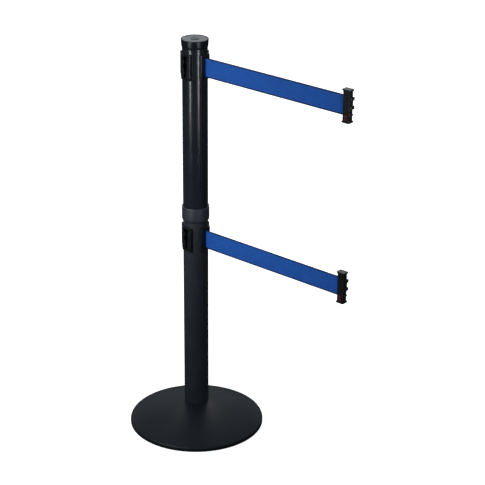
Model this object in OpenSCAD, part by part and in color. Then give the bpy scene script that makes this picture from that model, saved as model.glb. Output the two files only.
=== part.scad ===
// Twin-belt retractable queue barrier. Millimetres, +Z up along the post, floor at z = 0.
// The belts are drawn out along +X; spare belt receivers face -Y, -X and +Y.

/* [Post] */
// Height from the floor to the top of the cap
post_h = 1050; // [900:5:1300]
// Outside diameter of both tubes
tube_d = 63.5; // [60:0.1:78]
// Wall thickness of both tubes
tube_wall = 1.6; // [1.2:0.1:2.4]
// Length of the coupling sleeve inside the mid collar
joiner_len = 68; // [50:1:90]
// Wall thickness of the coupling sleeve
joiner_wall = 2.5; // [2:0.1:4]

/* [Base] */
// Diameter of the base cover
base_d = 350; // [290:5:420]
// Height of the upright rim of the base cover
rim_h = 8; // [7:0.5:12]
// Radius that the rim is rolled over with
rim_round = 6; // [4:0.5:8]
// Radius of the gentle crown between the rolled rim and the post's seat
crown_r = 520; // [400:10:1200]
// Height at which the post stands on the base cover
dome_h = 63; // [52:1:75]
// Sheet thickness of the base cover
cover_wall = 1.5; // [1:0.1:2.5]
// Thickness of the rubber floor pad
pad_h = 4; // [3:0.5:6]
// Thickness of the cast weight's disc
weight_h = 15; // [12:0.5:20]
// Diameter of the boss that carries the post's load down to the weight
boss_d = 60; // [54:1:70]
// Diameter of the long bolt that ties base and post together
bolt_d = 12; // [10:1:14]
// Height of the threaded plug in the foot of the post
plug_h = 26; // [20:1:36]

/* [Top cap] */
// How far the cap's top rim stands out from the tube
cap_flare = 2.55; // [1.8:0.05:5]
// How far the foot of the cap's band stands out from the tube
cap_step = 1.45; // [0.6:0.05:1.7]
// Height of the part of the cap that is seen above the tube's band
cap_h = 21; // [17:0.5:27]
// Height of the chamfer that leads from the band down to the tube
cap_chamfer = 5.2; // [3:0.2:6]
// Width of the cap's raised rim
cap_rim = 2.6; // [2:0.1:4]
// Depth of the recess inside the raised rim
cap_recess = 2; // [1.4:0.1:3]
// Diameter of the slotted blanking plug
coin_plug_d = 22; // [16:1:30]

/* [Mid collar] */
// Height of the top edge of the mid collar
collar_top = 615; // [560:5:680]
// How far the mid collar stands out from the tubes
collar_step = 3.05; // [2:0.05:4]
// Height of the mid collar
collar_h = 38; // [30:1:46]
// Height of the chamfer along the collar's lower edge
collar_chamfer = 5; // [2:0.5:7]

/* [Receivers and belt exits] */
// How far each frame reaches past the belt's edges, above and below
frame_margin = 7; // [6.5:0.5:9]
// Width of each frame
frame_w = 31; // [30:0.5:33]
// How far each frame stands proud of the tube
frame_proud = 3.7; // [2.5:0.1:5]
// Height of the sloped chin at the bottom of each frame
chin_h = 7.5; // [4:0.5:9]
// Distance from the cap or collar down to the frames below it
frame_drop = 13.5; // [12:0.5:18]
// Width of the receiver's slot, which the neck of a belt end runs in
slot_w = 7.6; // [7:0.2:8.2]
// Width of the receiver's pocket behind the slot's lips
pocket_w = 15.4; // [14:0.2:17]
// Thickness of the slot's lips
lip_t = 2.2; // [1.8:0.1:3]

/* [Belt] */
// Width of the belt webbing
belt_w = 50; // [46:0.5:60]
// Thickness of the belt webbing
belt_t = 0.5; // [0.4:0.05:0.7]
// Diameter of the roll of belt that is still on the spool
roll_d = 36.4; // [26:0.2:37]
// Distance from the post's axis to the near face of the belt end
belt_reach = 460; // [300:10:900]

/* [Belt end] */
// How far the belt end reaches past the belt's edges, above and below
end_margin = 15; // [14.5:0.5:20]
// Length of the belt end's body along the belt
end_l = 20; // [18:0.5:26]
// Thickness of the belt end's body across the belt
end_t = 13.4; // [13:0.2:16]
// Length of the top flange along the belt
top_flange_l = 24; // [22:0.5:30]
// Width of the top flange across the belt
top_flange_w = 17; // [15:0.5:22]
// Length of the bottom flange along the belt
foot_flange_l = 22; // [20:0.5:28]
// Width of the bottom flange across the belt
foot_flange_w = 19; // [16:0.5:24]
// Thickness of both flanges
flange_t = 4; // [3:0.2:5]
// Diameter of the steel pin that the belt is looped round
belt_pin_d = 4; // [3:0.2:5]
// Travel of the red release tab
tab_travel = 3; // [2:0.2:3.2]

/* [Cassette] */
// Outside diameter of the spool's drum
drum_d = 16; // [14:0.5:20]
// Distance from the tube's bore in to the edge of the spool's flanges
spool_inset = 8.85; // [8.5:0.05:10]
// Thickness of the spool's flanges
spool_flange = 1.6; // [1.2:0.1:2]
// Diameter of the fixed axle
axle_d = 6; // [5:0.5:7]
// Height of the rotating cup that holds the mainspring
cup_h = 12.2; // [10:0.2:13]
// Turns of the mainspring
spring_turns = 5; // [3:1:6]
// Thickness of the mainspring's strip
spring_t = 0.6; // [0.4:0.1:0.8]
// Diameter of the two guide posts that the belt runs between
guide_d = 3; // [2:0.5:3.5]

/* [Clearances] */
// Gap between a part and the tube wall that it fits inside, on the radius
fit = 0.1; // [0.05:0.05:0.2]
// Gap between moving parts that never touch
gap = 0.3; // [0.3:0.05:0.5]
// Running clearance on the radius between axle and bushes
run = 0.05; // [0.02:0.01:0.1]

/* [Hidden] */
$fn = 96;
eps = 0.01;
tube_r = tube_d / 2;
bore_r = tube_r - tube_wall;
fit_r = bore_r - fit;

// base
cover_r = base_d / 2;
pad_r = cover_r - cover_wall - 3;
weight_top = pad_h + weight_h;
seat_r = tube_r + 1.5;
// the crown is an arc from the post's seat that meets the rolled rim without a kink
seat_at = [seat_r, dome_h];
roll_at = [cover_r - rim_round, rim_h];
seat_to_roll = norm(roll_at - seat_at);
along = (roll_at - seat_at) / seat_to_roll;
crown_along = (crown_r ^ 2 - (crown_r - rim_round) ^ 2 + seat_to_roll ^ 2) / (2 * seat_to_roll);
crown_below = sqrt(crown_r ^ 2 - crown_along ^ 2);
crown_at = seat_at + crown_along * along + crown_below * [along[1], -along[0]];
crown_end = (roll_at - crown_at) / norm(roll_at - crown_at);
bolt_head_af = bolt_d * 1.5;
bolt_head_h = bolt_d * 0.625;
washer_t = 2.5;
washer_r = bolt_d;
well_top = pad_h + bolt_head_h + washer_t + 0.5;
bolt_tip = dome_h + plug_h - 4;

// post
cap_foot = post_h - cap_h;
cap_web = 5;
tube_top = post_h - cap_recess - cap_web;
collar_foot = collar_top - collar_h;
joint_z = collar_foot + collar_h / 2;
joint_web = 3;
spigot_len = 11;
coin_plug_t = 2.4;
cap_d = tube_d + 2 * cap_flare;
cap_band_d = tube_d + 2 * cap_step;
collar_d = tube_d + 2 * collar_step;

// cassettes, as heights measured from the belt's centre line
frame_h = belt_w + 2 * frame_margin;
upper_z = cap_foot - frame_drop - frame_h / 2;
lower_z = collar_foot - frame_drop - frame_h / 2;
spool_r = bore_r - spool_inset;
face_r = tube_r + frame_proud;
window_w = frame_w - 4;
window_h = frame_h - 4;
body_w = window_w - 0.4;
body_h = window_h - 0.4;
spool_gap = 1;
pocket_back_r = spool_r + spool_gap + 2;
pocket_top = body_h / 2 - 1.2;
pocket_foot = -body_h / 2 + 5.5;
lug_w = pocket_w - 0.9;
lug_h = 8.4;
lug_t = 2.5;
lug_gap = 0.4;
neck_w = slot_w - 0.6;
entry_h = lug_h + 1.4;
engage = 5;
lug_z = [-2, pocket_top - entry_h / 2 - engage];
neck_foot = -6;
neck_top = pocket_top - engage - 0.6;
latch_w = slot_w + 2;
latch_h = 4;
latch_z = pocket_foot + engage - latch_h / 2 + 1.3;
latch_out = 2.4;

drum_h = belt_w + 1.6;
flange_z = drum_h / 2;
spool_top = flange_z + spool_flange;
cup_r = spool_r;
cup_wall = 1.6;
cup_floor = 1.6;
cup_foot = -spool_top - cup_h;
plate_t = 3;
plate_r = fit_r;
lid_z = max(spool_top + 5, window_h / 2 + 1.5);
deck_z = cup_foot - 2.5;
brake_t = 2;
lid_boss_r = drum_d;
bush_r = axle_d / 2 + 1.5;
bush_len = 6;
pillar_d = 6;
pillar_at = (bore_r - pillar_d / 2 - 1) / sqrt(2);
screw_d = 2.5;
screw_len = 12;
screw_head_h = 1.8;
joiner_foot = lower_z + lid_z + plate_t + screw_head_h + 3;
guide_y = guide_d / 2 + gap + belt_t / 2;
guide_x = spool_r + guide_d / 2 + 1.6;
mouth_r = guide_x + guide_d / 2 + 0.6;
slot_h = belt_w + 2.4;
slot_t = belt_t + 2.5;

// the belt's way from the roll to the guide post: the tangent that crosses between two circles
roll_path_r = roll_d / 2 + gap + belt_t / 2;
guide_dist = sqrt(guide_x ^ 2 + guide_y ^ 2);
lead_turn = atan2(guide_y, guide_x) - asin((roll_path_r + guide_y) / guide_dist);
lead_n = [-sin(lead_turn), cos(lead_turn)];
lead_from = roll_path_r * lead_n;

// belt ends, as places measured from the belt end's own centre
end_h = belt_w + 2 * end_margin;
end_x = belt_reach + end_l / 2;
belt_pin_x = -1;
belt_pin_len = belt_w + 4;
loop_r = belt_pin_d / 2 + 0.1 + belt_t;
cap_spigot_h = 3;
well_foot = -belt_w / 2 - 0.7;
tab_foot = -end_h / 2 + flange_t + 0.6;
tab_h = 14;
tab_l = 9;
tab_pad_t = 1;
tab_back_x = -4.5;
tab_slide_gap = 0.3;
tab_bar_foot = tab_foot + 0.8;
tab_bar_top = well_foot - 2.6;
tab_bar_z = (tab_bar_foot + tab_bar_top) / 2;
tab_riser_x = 5;
tab_riser_t = 3.5;
tab_spring_r = 1.9;
tab_spring_wire = 0.5;
tab_spring_coils = 3;

// ---- shared shapes ----

module rod(r, foot, top) { translate([0, 0, foot]) cylinder(r = r, h = top - foot); }

module ring(outer, inner, foot, top) {
    difference() {
        rod(outer, foot, top);
        rod(inner, foot - 1, top + 1);
    }
}

// a block from its two ranges and its height, centred on y = 0
module block(x0, x1, w, foot, top) {
    translate([x0, -w / 2, foot]) cube([x1 - x0, w, top - foot]);
}

// a block whose upright edges are rounded
module soft_block(x0, x1, w, foot, top, r) {
    block(x0 + r, x1 - r, w, foot, top);
    block(x0, x1, w - 2 * r, foot, top);
    for (x = [x0 + r, x1 - r], y = [-1, 1] * (w / 2 - r)) {
        translate([x, y, 0]) rod(r, foot, top);
    }
}

module at_corners(a) {
    for (x = [-a, a], y = [-a, a]) translate([x, y, 0]) children();
}

// ---- base ----

// the outside of the base cover, drawn in by t all round, down to the height foot
module dome_form(t, foot) {
    rotate_extrude($fn = 180) {
        translate([0, foot]) square([cover_r - t, rim_h - foot]);
        intersection() {
            translate(crown_at) circle(r = crown_r - t, $fn = 720);
            translate([0, foot]) square([crown_at[0] + crown_end[0] * (crown_r - t), dome_h - t - foot]);
        }
        intersection() {
            translate(roll_at) circle(r = rim_round - t);
            translate([roll_at[0] - 1, foot]) square([rim_round + 1, dome_h]);
        }
    }
}

module floor_pad() {
    color("#1b1c1e") rod(pad_r, 0, pad_h);
}

module base_weight() {
    color("#3a3b3d") difference() {
        union() {
            intersection() {
                dome_form(cover_wall + 0.5, 0);
                rod(pad_r, pad_h, weight_top);
            }
            rod(boss_d / 2, weight_top - 1, dome_h - cover_wall);
        }
        rod(bolt_d / 2 + 0.5, pad_h, dome_h);
        rod(washer_r + 0.5, pad_h - 1, well_top);
    }
}

module base_cover() {
    color("#1b2127") difference() {
        dome_form(0, 1.5);
        dome_form(cover_wall, -1);
        rod(bolt_d / 2 + 0.5, dome_h / 2, dome_h + 1);
    }
}

module base_bolt() {
    color("#8d9196") {
        translate([0, 0, pad_h + 0.4]) cylinder(d = bolt_head_af / cos(30), h = bolt_head_h, $fn = 6);
        rod(bolt_d / 2, pad_h + bolt_head_h, bolt_tip);
    }
}

module base_washer() {
    color("#8d9196") ring(washer_r, bolt_d / 2, pad_h + bolt_head_h + 0.4, well_top);
}

module foot_plug() {
    color("#5b5e62") difference() {
        rod(fit_r, dome_h, dome_h + plug_h);
        rod(bolt_d / 2, dome_h - 1, dome_h + plug_h + 1);
    }
}

// ---- post ----

module windows(z) {
    reach = tube_r + 1;
    translate([0, 0, z]) {
        block(-reach, reach, window_w, -window_h / 2, window_h / 2);
        rotate(90) block(-reach, reach, window_w, -window_h / 2, window_h / 2);
    }
}

module lower_tube() {
    color("#1c2126") difference() {
        ring(tube_r, bore_r, dome_h, joint_z - joint_web / 2);
        windows(lower_z);
    }
}

module upper_tube() {
    color("#1e2329") difference() {
        ring(tube_r, bore_r, joint_z + joint_web / 2, tube_top);
        windows(upper_z);
    }
}

module mid_collar() {
    band_foot = collar_foot + collar_chamfer;
    color("#20242b") difference() {
        union() {
            rod(collar_d / 2, band_foot, collar_top - 0.8);
            translate([0, 0, collar_foot])
                cylinder(r1 = tube_r + 0.6, r2 = collar_d / 2, h = collar_chamfer);
            translate([0, 0, collar_top - 0.8])
                cylinder(r1 = collar_d / 2, r2 = collar_d / 2 - 0.8, h = 0.8);
        }
        rod(tube_r, collar_foot - 1, joint_z - joint_web / 2);
        rod(tube_r, joint_z + joint_web / 2, collar_top + 1);
        rod(bore_r, collar_foot - 1, collar_top + 1);
    }
}

module tube_joiner() {
    color("#55585c") ring(fit_r, fit_r - joiner_wall, joiner_foot, joiner_foot + joiner_len);
}

module top_cap() {
    band_foot = cap_foot + cap_chamfer;
    color("#1a1f24") difference() {
        union() {
            translate([0, 0, band_foot])
                cylinder(r1 = cap_band_d / 2, r2 = cap_d / 2, h = post_h - 0.8 - band_foot);
            translate([0, 0, cap_foot])
                cylinder(r1 = tube_r + 0.25, r2 = cap_band_d / 2, h = cap_chamfer);
            translate([0, 0, post_h - 0.8]) cylinder(r1 = cap_d / 2, r2 = cap_d / 2 - 0.6, h = 0.8);
        }
        ring(tube_r, fit_r, cap_foot - 1, tube_top);
        rod(fit_r + eps, cap_foot - 1, tube_top - spigot_len);
        rod(fit_r - 3, cap_foot - 1, tube_top);
        rod(cap_d / 2 - cap_rim, post_h - cap_recess, post_h + 1);
        rod(coin_plug_d / 2 - 3, tube_top - 1, post_h);
    }
}

module cap_disc() {
    top = post_h - cap_recess + 1.2;
    color("#565a60") difference() {
        rod(cap_d / 2 - cap_rim - 0.15, post_h - cap_recess, top);
        rod(coin_plug_d / 2 + 0.1, post_h - cap_recess - 1, top + 1);
    }
}

module coin_plug() {
    foot = post_h - cap_recess;
    color("#2c3036") difference() {
        union() {
            rod(coin_plug_d / 2, foot, foot + coin_plug_t - 0.6);
            rod(coin_plug_d / 2 - 3, tube_top + 0.5, foot + eps);
        }
        block(-coin_plug_d * 0.36, coin_plug_d * 0.36, 2, foot + 0.6, post_h + 1);
    }
}

// ---- cassettes; every z is measured from the belt's centre line ----

// the outline of a frame seen from its side, from the inner end r0 out to its face
module frame_side(r0) {
    top = frame_h / 2;
    polygon([
        [r0, -top], [tube_r + 0.4, -top], [face_r, -top + chin_h],
        [face_r, top - 1], [face_r - 1, top], [r0, top]
    ]);
}

// the solid of a frame: its flange is saddled onto the tube, and its body stands in the window
module frame_solid(inner_r) {
    difference() {
        translate([0, frame_w / 2, 0]) rotate([90, 0, 0])
            linear_extrude(height = frame_w) frame_side(mouth_r);
        rod(tube_r, -frame_h, frame_h);
    }
    block(inner_r, tube_r + 0.6, body_w, -body_h / 2, body_h / 2);
}

module receiver() {
    entry_z = [for (z = lug_z) z + engage];
    color("#15181c") difference() {
        frame_solid(pocket_back_r - 2);
        block(pocket_back_r, face_r - lip_t, pocket_w, pocket_foot, pocket_top);
        block(pocket_back_r, face_r + 1, slot_w, pocket_foot, pocket_top);
        for (z = entry_z) block(pocket_back_r, face_r + 1, pocket_w, z - entry_h / 2, z + entry_h / 2);
        // the notch that the release tab's nose drops into once the tongue is pushed down
        block(face_r - 4.5, face_r + 1, latch_w + 0.8,
            latch_z - engage - latch_h / 2 - 0.4, latch_z - engage + latch_h / 2 + 0.4);
    }
}

module belt_exit() {
    color("#15181c") difference() {
        frame_solid(mouth_r);
        block(mouth_r - 1, face_r + 1, slot_t, -slot_h / 2, slot_h / 2);
    }
}

module cassette_frame() {
    color("#2a2c2f") {
        difference() {
            union() {
                rod(plate_r, deck_z - plate_t, deck_z);
                rod(axle_d, deck_z - 1, cup_foot - gap);
            }
            rod(axle_d / 2, deck_z - plate_t - 1, cup_foot);
            for (y = [-1, 1] * guide_y) translate([guide_x, y, 0]) rod(guide_d / 2, deck_z - 1.5, deck_z + 1);
        }
        difference() {
            at_corners(pillar_at) rod(pillar_d / 2, deck_z - eps, lid_z);
            at_corners(pillar_at) rod(screw_d / 2, lid_z - screw_len, lid_z + 1);
        }
    }
}

module cassette_lid() {
    color("#2a2c2f") difference() {
        union() {
            rod(plate_r, lid_z, lid_z + plate_t);
            rod(lid_boss_r, spool_top + gap + brake_t, lid_z + 1);
        }
        rod(axle_d / 2, 0, lid_z + plate_t + 1);
        at_corners(pillar_at) rod(screw_d / 2, lid_z - 1, lid_z + plate_t + 1);
        for (y = [-1, 1] * guide_y) translate([guide_x, y, 0]) rod(guide_d / 2, lid_z - 1, lid_z + 1.5);
    }
}

module lid_screws() {
    top = lid_z + plate_t;
    color("#9a9ea3") at_corners(pillar_at) {
        rod(screw_d / 2, lid_z - screw_len + 1, top + eps);
        difference() {
            rod(screw_d, top, top + screw_head_h);
            block(-screw_d, screw_d, 0.6, top + 1, top + 3);
        }
    }
}

module guide_posts() {
    color("#b4b8bc") for (y = [-1, 1] * guide_y) {
        translate([guide_x, y, 0]) rod(guide_d / 2, deck_z - 1.5, lid_z + 1.5);
    }
}

module axle() {
    color("#b4b8bc") rod(axle_d / 2, deck_z - plate_t, lid_z + plate_t);
}

module spool() {
    color("#3b3e42") difference() {
        union() {
            rod(drum_d / 2, -flange_z, flange_z);
            rod(spool_r, flange_z, spool_top);
            rod(spool_r, -spool_top, -flange_z);
        }
        rod(axle_d / 2 + 0.6, -spool_top - 1, spool_top + 1);
        rod(bush_r, spool_top - bush_len, spool_top + 1);
        rod(bush_r, -spool_top - 1, -spool_top + bush_len);
    }
}

module spool_bushes() {
    color("#a8793c") {
        ring(bush_r, axle_d / 2 + run, spool_top - bush_len, spool_top);
        ring(bush_r, axle_d / 2 + run, -spool_top, -spool_top + bush_len);
    }
}

module belt_roll() {
    color("#23479a") ring(roll_d / 2, drum_d / 2, -belt_w / 2, belt_w / 2);
}

module spring_cup() {
    color("#6c7075") difference() {
        rod(cup_r, cup_foot, -spool_top);
        rod(cup_r - cup_wall, cup_foot + cup_floor, -spool_top + 1);
        rod(axle_d / 2 + 0.6, cup_foot - 1, -spool_top);
    }
}

// a flat spiral strip, from just clear of the axle out to the cup's wall
module mainspring() {
    inner = axle_d / 2 + 1.2;
    outer = cup_r - cup_wall - spring_t / 2;
    steps = spring_turns * 24;
    mid = [for (i = [0:steps]) inner + (outer - inner) * i / steps];
    turn = 360 * spring_turns / steps;
    edge = [for (i = [0:steps]) (mid[i] + spring_t / 2) * [cos(i * turn), sin(i * turn)]];
    back = [for (i = [steps:-1:0]) (mid[i] - spring_t / 2) * [cos(i * turn), sin(i * turn)]];
    color("#7d838a") translate([0, 0, cup_foot + cup_floor + 0.4])
        linear_extrude(height = cup_h - cup_floor - 0.8) polygon(concat(edge, back));
}

module brake_washer() {
    color("#8c8576") ring(lid_boss_r, drum_d / 2, spool_top + gap, spool_top + gap + brake_t);
}

// ---- belt ends; x is measured from the belt end's own centre ----

function arc(at, r, from, to, steps) =
    [for (i = [0:steps]) at + r * [cos(from + (to - from) * i / steps), sin(from + (to - from) * i / steps)]];

// the belt's line in plan: off the roll, round the guide post, straight out and round its pin
module belt_line() {
    guide = [guide_x, guide_y];
    pin = [end_x + belt_pin_x, 0];
    half = belt_t / 2;
    join = asin(half / loop_r);
    difference() {
        polygon(concat(
            [lead_from - half * lead_n],
            arc(guide, guide_y + half, lead_turn - 90, -90, 8),
            arc(pin, loop_r, 180 + join, 540 - join, 48),
            arc(guide, guide_y - half, -90, lead_turn - 90, 8),
            [lead_from + half * lead_n]
        ));
        translate(pin) circle(r = loop_r - belt_t);
    }
}

module belt() {
    color("#23479a") translate([0, 0, -belt_w / 2]) linear_extrude(height = belt_w) belt_line();
}

module belt_pin() {
    color("#b4b8bc") translate([end_x + belt_pin_x, 0, 0])
        rod(belt_pin_d / 2, -belt_pin_len / 2, belt_pin_len / 2);
}

// the T-shaped tongue that locks into another post's receiver
module tongue() {
    face = end_l / 2;
    block(face - eps, face + lip_t + lug_gap + eps, neck_w, neck_foot, neck_top);
    for (z = lug_z) {
        block(face - eps, face + lip_t + lug_gap + eps, neck_w, z - lug_h / 2, z + lug_h / 2);
        block(face + lip_t + lug_gap, face + lip_t + lug_gap + lug_t, lug_w, z - lug_h / 2, z + lug_h / 2);
    }
}

module end_body() {
    half = end_l / 2;
    foot = -end_h / 2;
    top = end_h / 2 - flange_t;
    well_h = belt_pin_len / 2 + 0.2;
    g = tab_slide_gap;
    bar_x0 = tab_back_x - tab_travel - g;
    latch_top = latch_z + latch_h / 2;
    color("#16181b") translate([end_x, 0, 0]) {
        difference() {
            union() {
                soft_block(-half, half, end_t, foot + flange_t - eps, top, 2);
                soft_block(-foot_flange_l / 2, foot_flange_l / 2, foot_flange_w, foot, foot + flange_t, 2.5);
            }
            // the well for the belt's loop, open at the top for its pin
            translate([belt_pin_x, 0, 0]) rod(loop_r + 0.5, well_foot, top + 1);
            translate([belt_pin_x, 0, 0]) rod(belt_pin_d / 2, -well_h, 0);
            block(-half - 1, belt_pin_x, belt_t + 1.1, well_foot, top + 1);
            // the way of the release tab: side to side, up its riser, and out at the front
            block(bar_x0, tab_back_x + tab_l + g, end_t + 2, tab_bar_foot - g, tab_bar_top + g);
            block(tab_riser_x - tab_travel - g, tab_riser_x + tab_riser_t + g, latch_w + 2 * g,
                tab_bar_foot - g, latch_top + g);
            block(tab_riser_x, half + 1, latch_w + 2 * g, latch_z - latch_h / 2 - g, latch_top + g);
        }
        tongue();
    }
}

module end_cap() {
    top = end_h / 2;
    foot = top - flange_t;
    color("#16181b") translate([end_x, 0, 0]) {
        soft_block(-top_flange_l / 2, top_flange_l / 2, top_flange_w, foot, top, 2.5);
        translate([belt_pin_x, 0, 0]) rod(loop_r + 0.4, foot - cap_spigot_h, foot + eps);
    }
}

module release_tab() {
    x0 = tab_back_x;
    x1 = tab_back_x + tab_l;
    riser_end = tab_riser_x + tab_riser_t;
    pad_in = end_t / 2 + tab_slide_gap;
    color("#8c1a24") translate([end_x, 0, 0]) {
        block(x0, x1, 2 * pad_in + eps, tab_bar_foot, tab_bar_top);
        block(x1 - eps, riser_end, latch_w, tab_bar_foot, tab_bar_top);
        block(tab_riser_x, riser_end, latch_w, tab_bar_foot, latch_z + latch_h / 2);
        block(riser_end - eps, end_l / 2 + latch_out, latch_w, latch_z - latch_h / 2, latch_z + latch_h / 2);
        for (side = [-1, 1]) {
            translate([0, side * (pad_in + tab_pad_t / 2), 0])
                block(x0, x1, tab_pad_t, tab_foot, tab_foot + tab_h);
        }
    }
}

module tab_spring() {
    x0 = tab_back_x - tab_travel - tab_slide_gap;
    room = tab_back_x - x0;
    pitch = (room - tab_spring_wire) / (tab_spring_coils - 1);
    color("#a8adb2") translate([end_x + x0 + tab_spring_wire / 2, 0, tab_bar_z]) rotate([0, 90, 0]) {
        for (i = [0:tab_spring_coils - 1]) {
            translate([0, 0, i * pitch])
                rotate_extrude() translate([tab_spring_r, 0]) circle(d = tab_spring_wire, $fn = 24);
        }
        translate([tab_spring_r, 0, 0]) cylinder(d = tab_spring_wire * 0.8, h = room - tab_spring_wire, $fn = 24);
    }
}

// ---- where everything goes ----

module upper() { translate([0, 0, upper_z]) children(); }
module lower() { translate([0, 0, lower_z]) children(); }

floor_pad();
base_weight();
base_bolt();
base_washer();
base_cover();
foot_plug();
lower_tube();
mid_collar();
tube_joiner();
upper_tube();
top_cap();
cap_disc();
coin_plug();

upper() cassette_frame();  // upper_cassette_frame
upper() cassette_lid();  // upper_cassette_lid
upper() lid_screws();  // upper_lid_screws
upper() belt_exit();  // upper_belt_exit
upper() rotate(-90) receiver();  // upper_receiver_front
upper() rotate(180) receiver();  // upper_receiver_side
upper() rotate(90) receiver();  // upper_receiver_back
upper() guide_posts();  // upper_guide_posts
upper() axle();  // upper_axle
upper() spool();  // upper_spool
upper() spool_bushes();  // upper_spool_bushes
upper() belt_roll();  // upper_belt_roll
upper() mainspring();  // upper_mainspring
upper() spring_cup();  // upper_spring_cup
upper() brake_washer();  // upper_brake_washer
upper() belt();  // upper_belt
upper() end_body();  // upper_end_body
upper() end_cap();  // upper_end_cap
upper() belt_pin();  // upper_belt_pin
upper() release_tab();  // upper_release_tab
upper() tab_spring();  // upper_tab_spring

lower() cassette_frame();  // lower_cassette_frame
lower() cassette_lid();  // lower_cassette_lid
lower() lid_screws();  // lower_lid_screws
lower() belt_exit();  // lower_belt_exit
lower() rotate(-90) receiver();  // lower_receiver_front
lower() rotate(180) receiver();  // lower_receiver_side
lower() rotate(90) receiver();  // lower_receiver_back
lower() guide_posts();  // lower_guide_posts
lower() axle();  // lower_axle
lower() spool();  // lower_spool
lower() spool_bushes();  // lower_spool_bushes
lower() belt_roll();  // lower_belt_roll
lower() mainspring();  // lower_mainspring
lower() spring_cup();  // lower_spring_cup
lower() brake_washer();  // lower_brake_washer
lower() belt();  // lower_belt
lower() end_body();  // lower_end_body
lower() end_cap();  // lower_end_cap
lower() belt_pin();  // lower_belt_pin
lower() release_tab();  // lower_release_tab
lower() tab_spring();  // lower_tab_spring
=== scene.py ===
"""A crowd control barrier with two retractable belts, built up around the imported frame.

Lengths are in metres. +Z runs up the post, the belts are drawn out along +X, and the
receivers for neighbours' belts face -Y, -X and +Y. Every mesh is worked out in the frame's
own coordinates, so each object stays at the origin.
"""

import logging
import math
from dataclasses import dataclass, field
from enum import Enum

import bmesh
import bpy
import numpy as np
from mathutils import Matrix, Vector


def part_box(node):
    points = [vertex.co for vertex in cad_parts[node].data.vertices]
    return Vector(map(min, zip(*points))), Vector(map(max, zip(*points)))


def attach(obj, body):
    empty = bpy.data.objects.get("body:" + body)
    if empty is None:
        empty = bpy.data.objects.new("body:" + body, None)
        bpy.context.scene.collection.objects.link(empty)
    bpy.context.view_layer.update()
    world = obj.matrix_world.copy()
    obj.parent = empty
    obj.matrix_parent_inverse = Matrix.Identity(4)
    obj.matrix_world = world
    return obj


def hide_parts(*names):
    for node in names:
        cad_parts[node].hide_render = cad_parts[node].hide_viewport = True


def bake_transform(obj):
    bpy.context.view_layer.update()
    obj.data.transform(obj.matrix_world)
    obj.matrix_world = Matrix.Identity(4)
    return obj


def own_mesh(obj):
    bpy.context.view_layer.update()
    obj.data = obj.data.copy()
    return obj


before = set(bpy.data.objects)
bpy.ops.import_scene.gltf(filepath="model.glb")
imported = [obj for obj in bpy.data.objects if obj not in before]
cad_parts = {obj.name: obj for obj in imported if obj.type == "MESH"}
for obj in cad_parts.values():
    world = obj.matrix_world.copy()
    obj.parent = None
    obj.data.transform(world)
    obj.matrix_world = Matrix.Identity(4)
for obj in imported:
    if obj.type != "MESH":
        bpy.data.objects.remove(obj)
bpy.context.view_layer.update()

LOG = logging.getLogger("barrier")
MM = 0.001
TINY = 1e-9  # keeps a division by a length away from zero
SHARP = 0.01 * MM  # an edge or an overlap too small to see
QUARTER = math.pi / 2
NO_PLANES = np.empty(0)
POST = "post"  # the body that stands on the floor

Span = tuple[float, float]
Box = tuple[Span, Span, Span]
Pattern = tuple[bpy.types.NodeSocket, bpy.types.NodeSocket]


# ---------------------------------------------------------------- surfaces


class Ends(Enum):
    """What a loft does at its first and last ring."""

    OPEN = "both shrink to a pole"
    CAPPED = "each gets a flat cap"
    JOINED = "the last ring meets the first"


@dataclass
class Surface:
    """The points and faces of one or more closed shells.

    Attributes:
        points: One row of x, y, z for each point.
        faces: Arrays of point numbers, each array for faces with one number of corners.
        uv: One row of u, v for each point, or None where no pattern follows the surface.
    """

    points: np.ndarray
    faces: list[np.ndarray]
    uv: np.ndarray | None = None

    def joined(self, *others: "Surface") -> "Surface":
        """Puts several surfaces into one.

        Args:
            others: The surfaces to add.

        Returns:
            A surface with the points and faces of all of them.
        """
        points, faces = self.points, list(self.faces)
        for other in others:
            faces += [face + len(points) for face in other.faces]
            points = np.vstack([points, other.points])
        return Surface(points, faces)

    def turned(self, degrees: float) -> "Surface":
        """Turns the surface about the post's axis.

        Args:
            degrees: The turn, anticlockwise as seen from above.

        Returns:
            The turned surface.
        """
        c, s = math.cos(math.radians(degrees)), math.sin(math.radians(degrees))
        turn = np.array([[c, s, 0], [-s, c, 0], [0, 0, 1]])
        return Surface(self.points @ turn, self.faces, self.uv)

    def moved(self, x: float = 0.0, y: float = 0.0, z: float = 0.0) -> "Surface":
        """Returns the surface shifted by x, y and z."""
        return Surface(self.points + (x, y, z), self.faces, self.uv)

    def mesh(self, name: str) -> bpy.types.Mesh:
        """Makes a mesh of the surface, with its UV map if it has one.

        Args:
            name: The mesh's name.

        Returns:
            The mesh.
        """
        mesh = bpy.data.meshes.new(name)
        faces = [face for group in self.faces for face in group.tolist()]
        mesh.from_pydata(self.points.tolist(), [], faces)
        if self.uv is not None:
            corners = np.zeros(len(mesh.loops), np.int32)
            mesh.loops.foreach_get("vertex_index", corners)
            layer = mesh.uv_layers.new(name="along_and_across")
            layer.data.foreach_set("uv", self.uv[corners].astype(np.float32).ravel())
        return mesh


def unit(vectors: np.ndarray) -> np.ndarray:
    """Returns vectors of length one that point the same ways."""
    length = np.linalg.norm(vectors, axis=-1, keepdims=True)
    return vectors / np.maximum(length, TINY)


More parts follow.
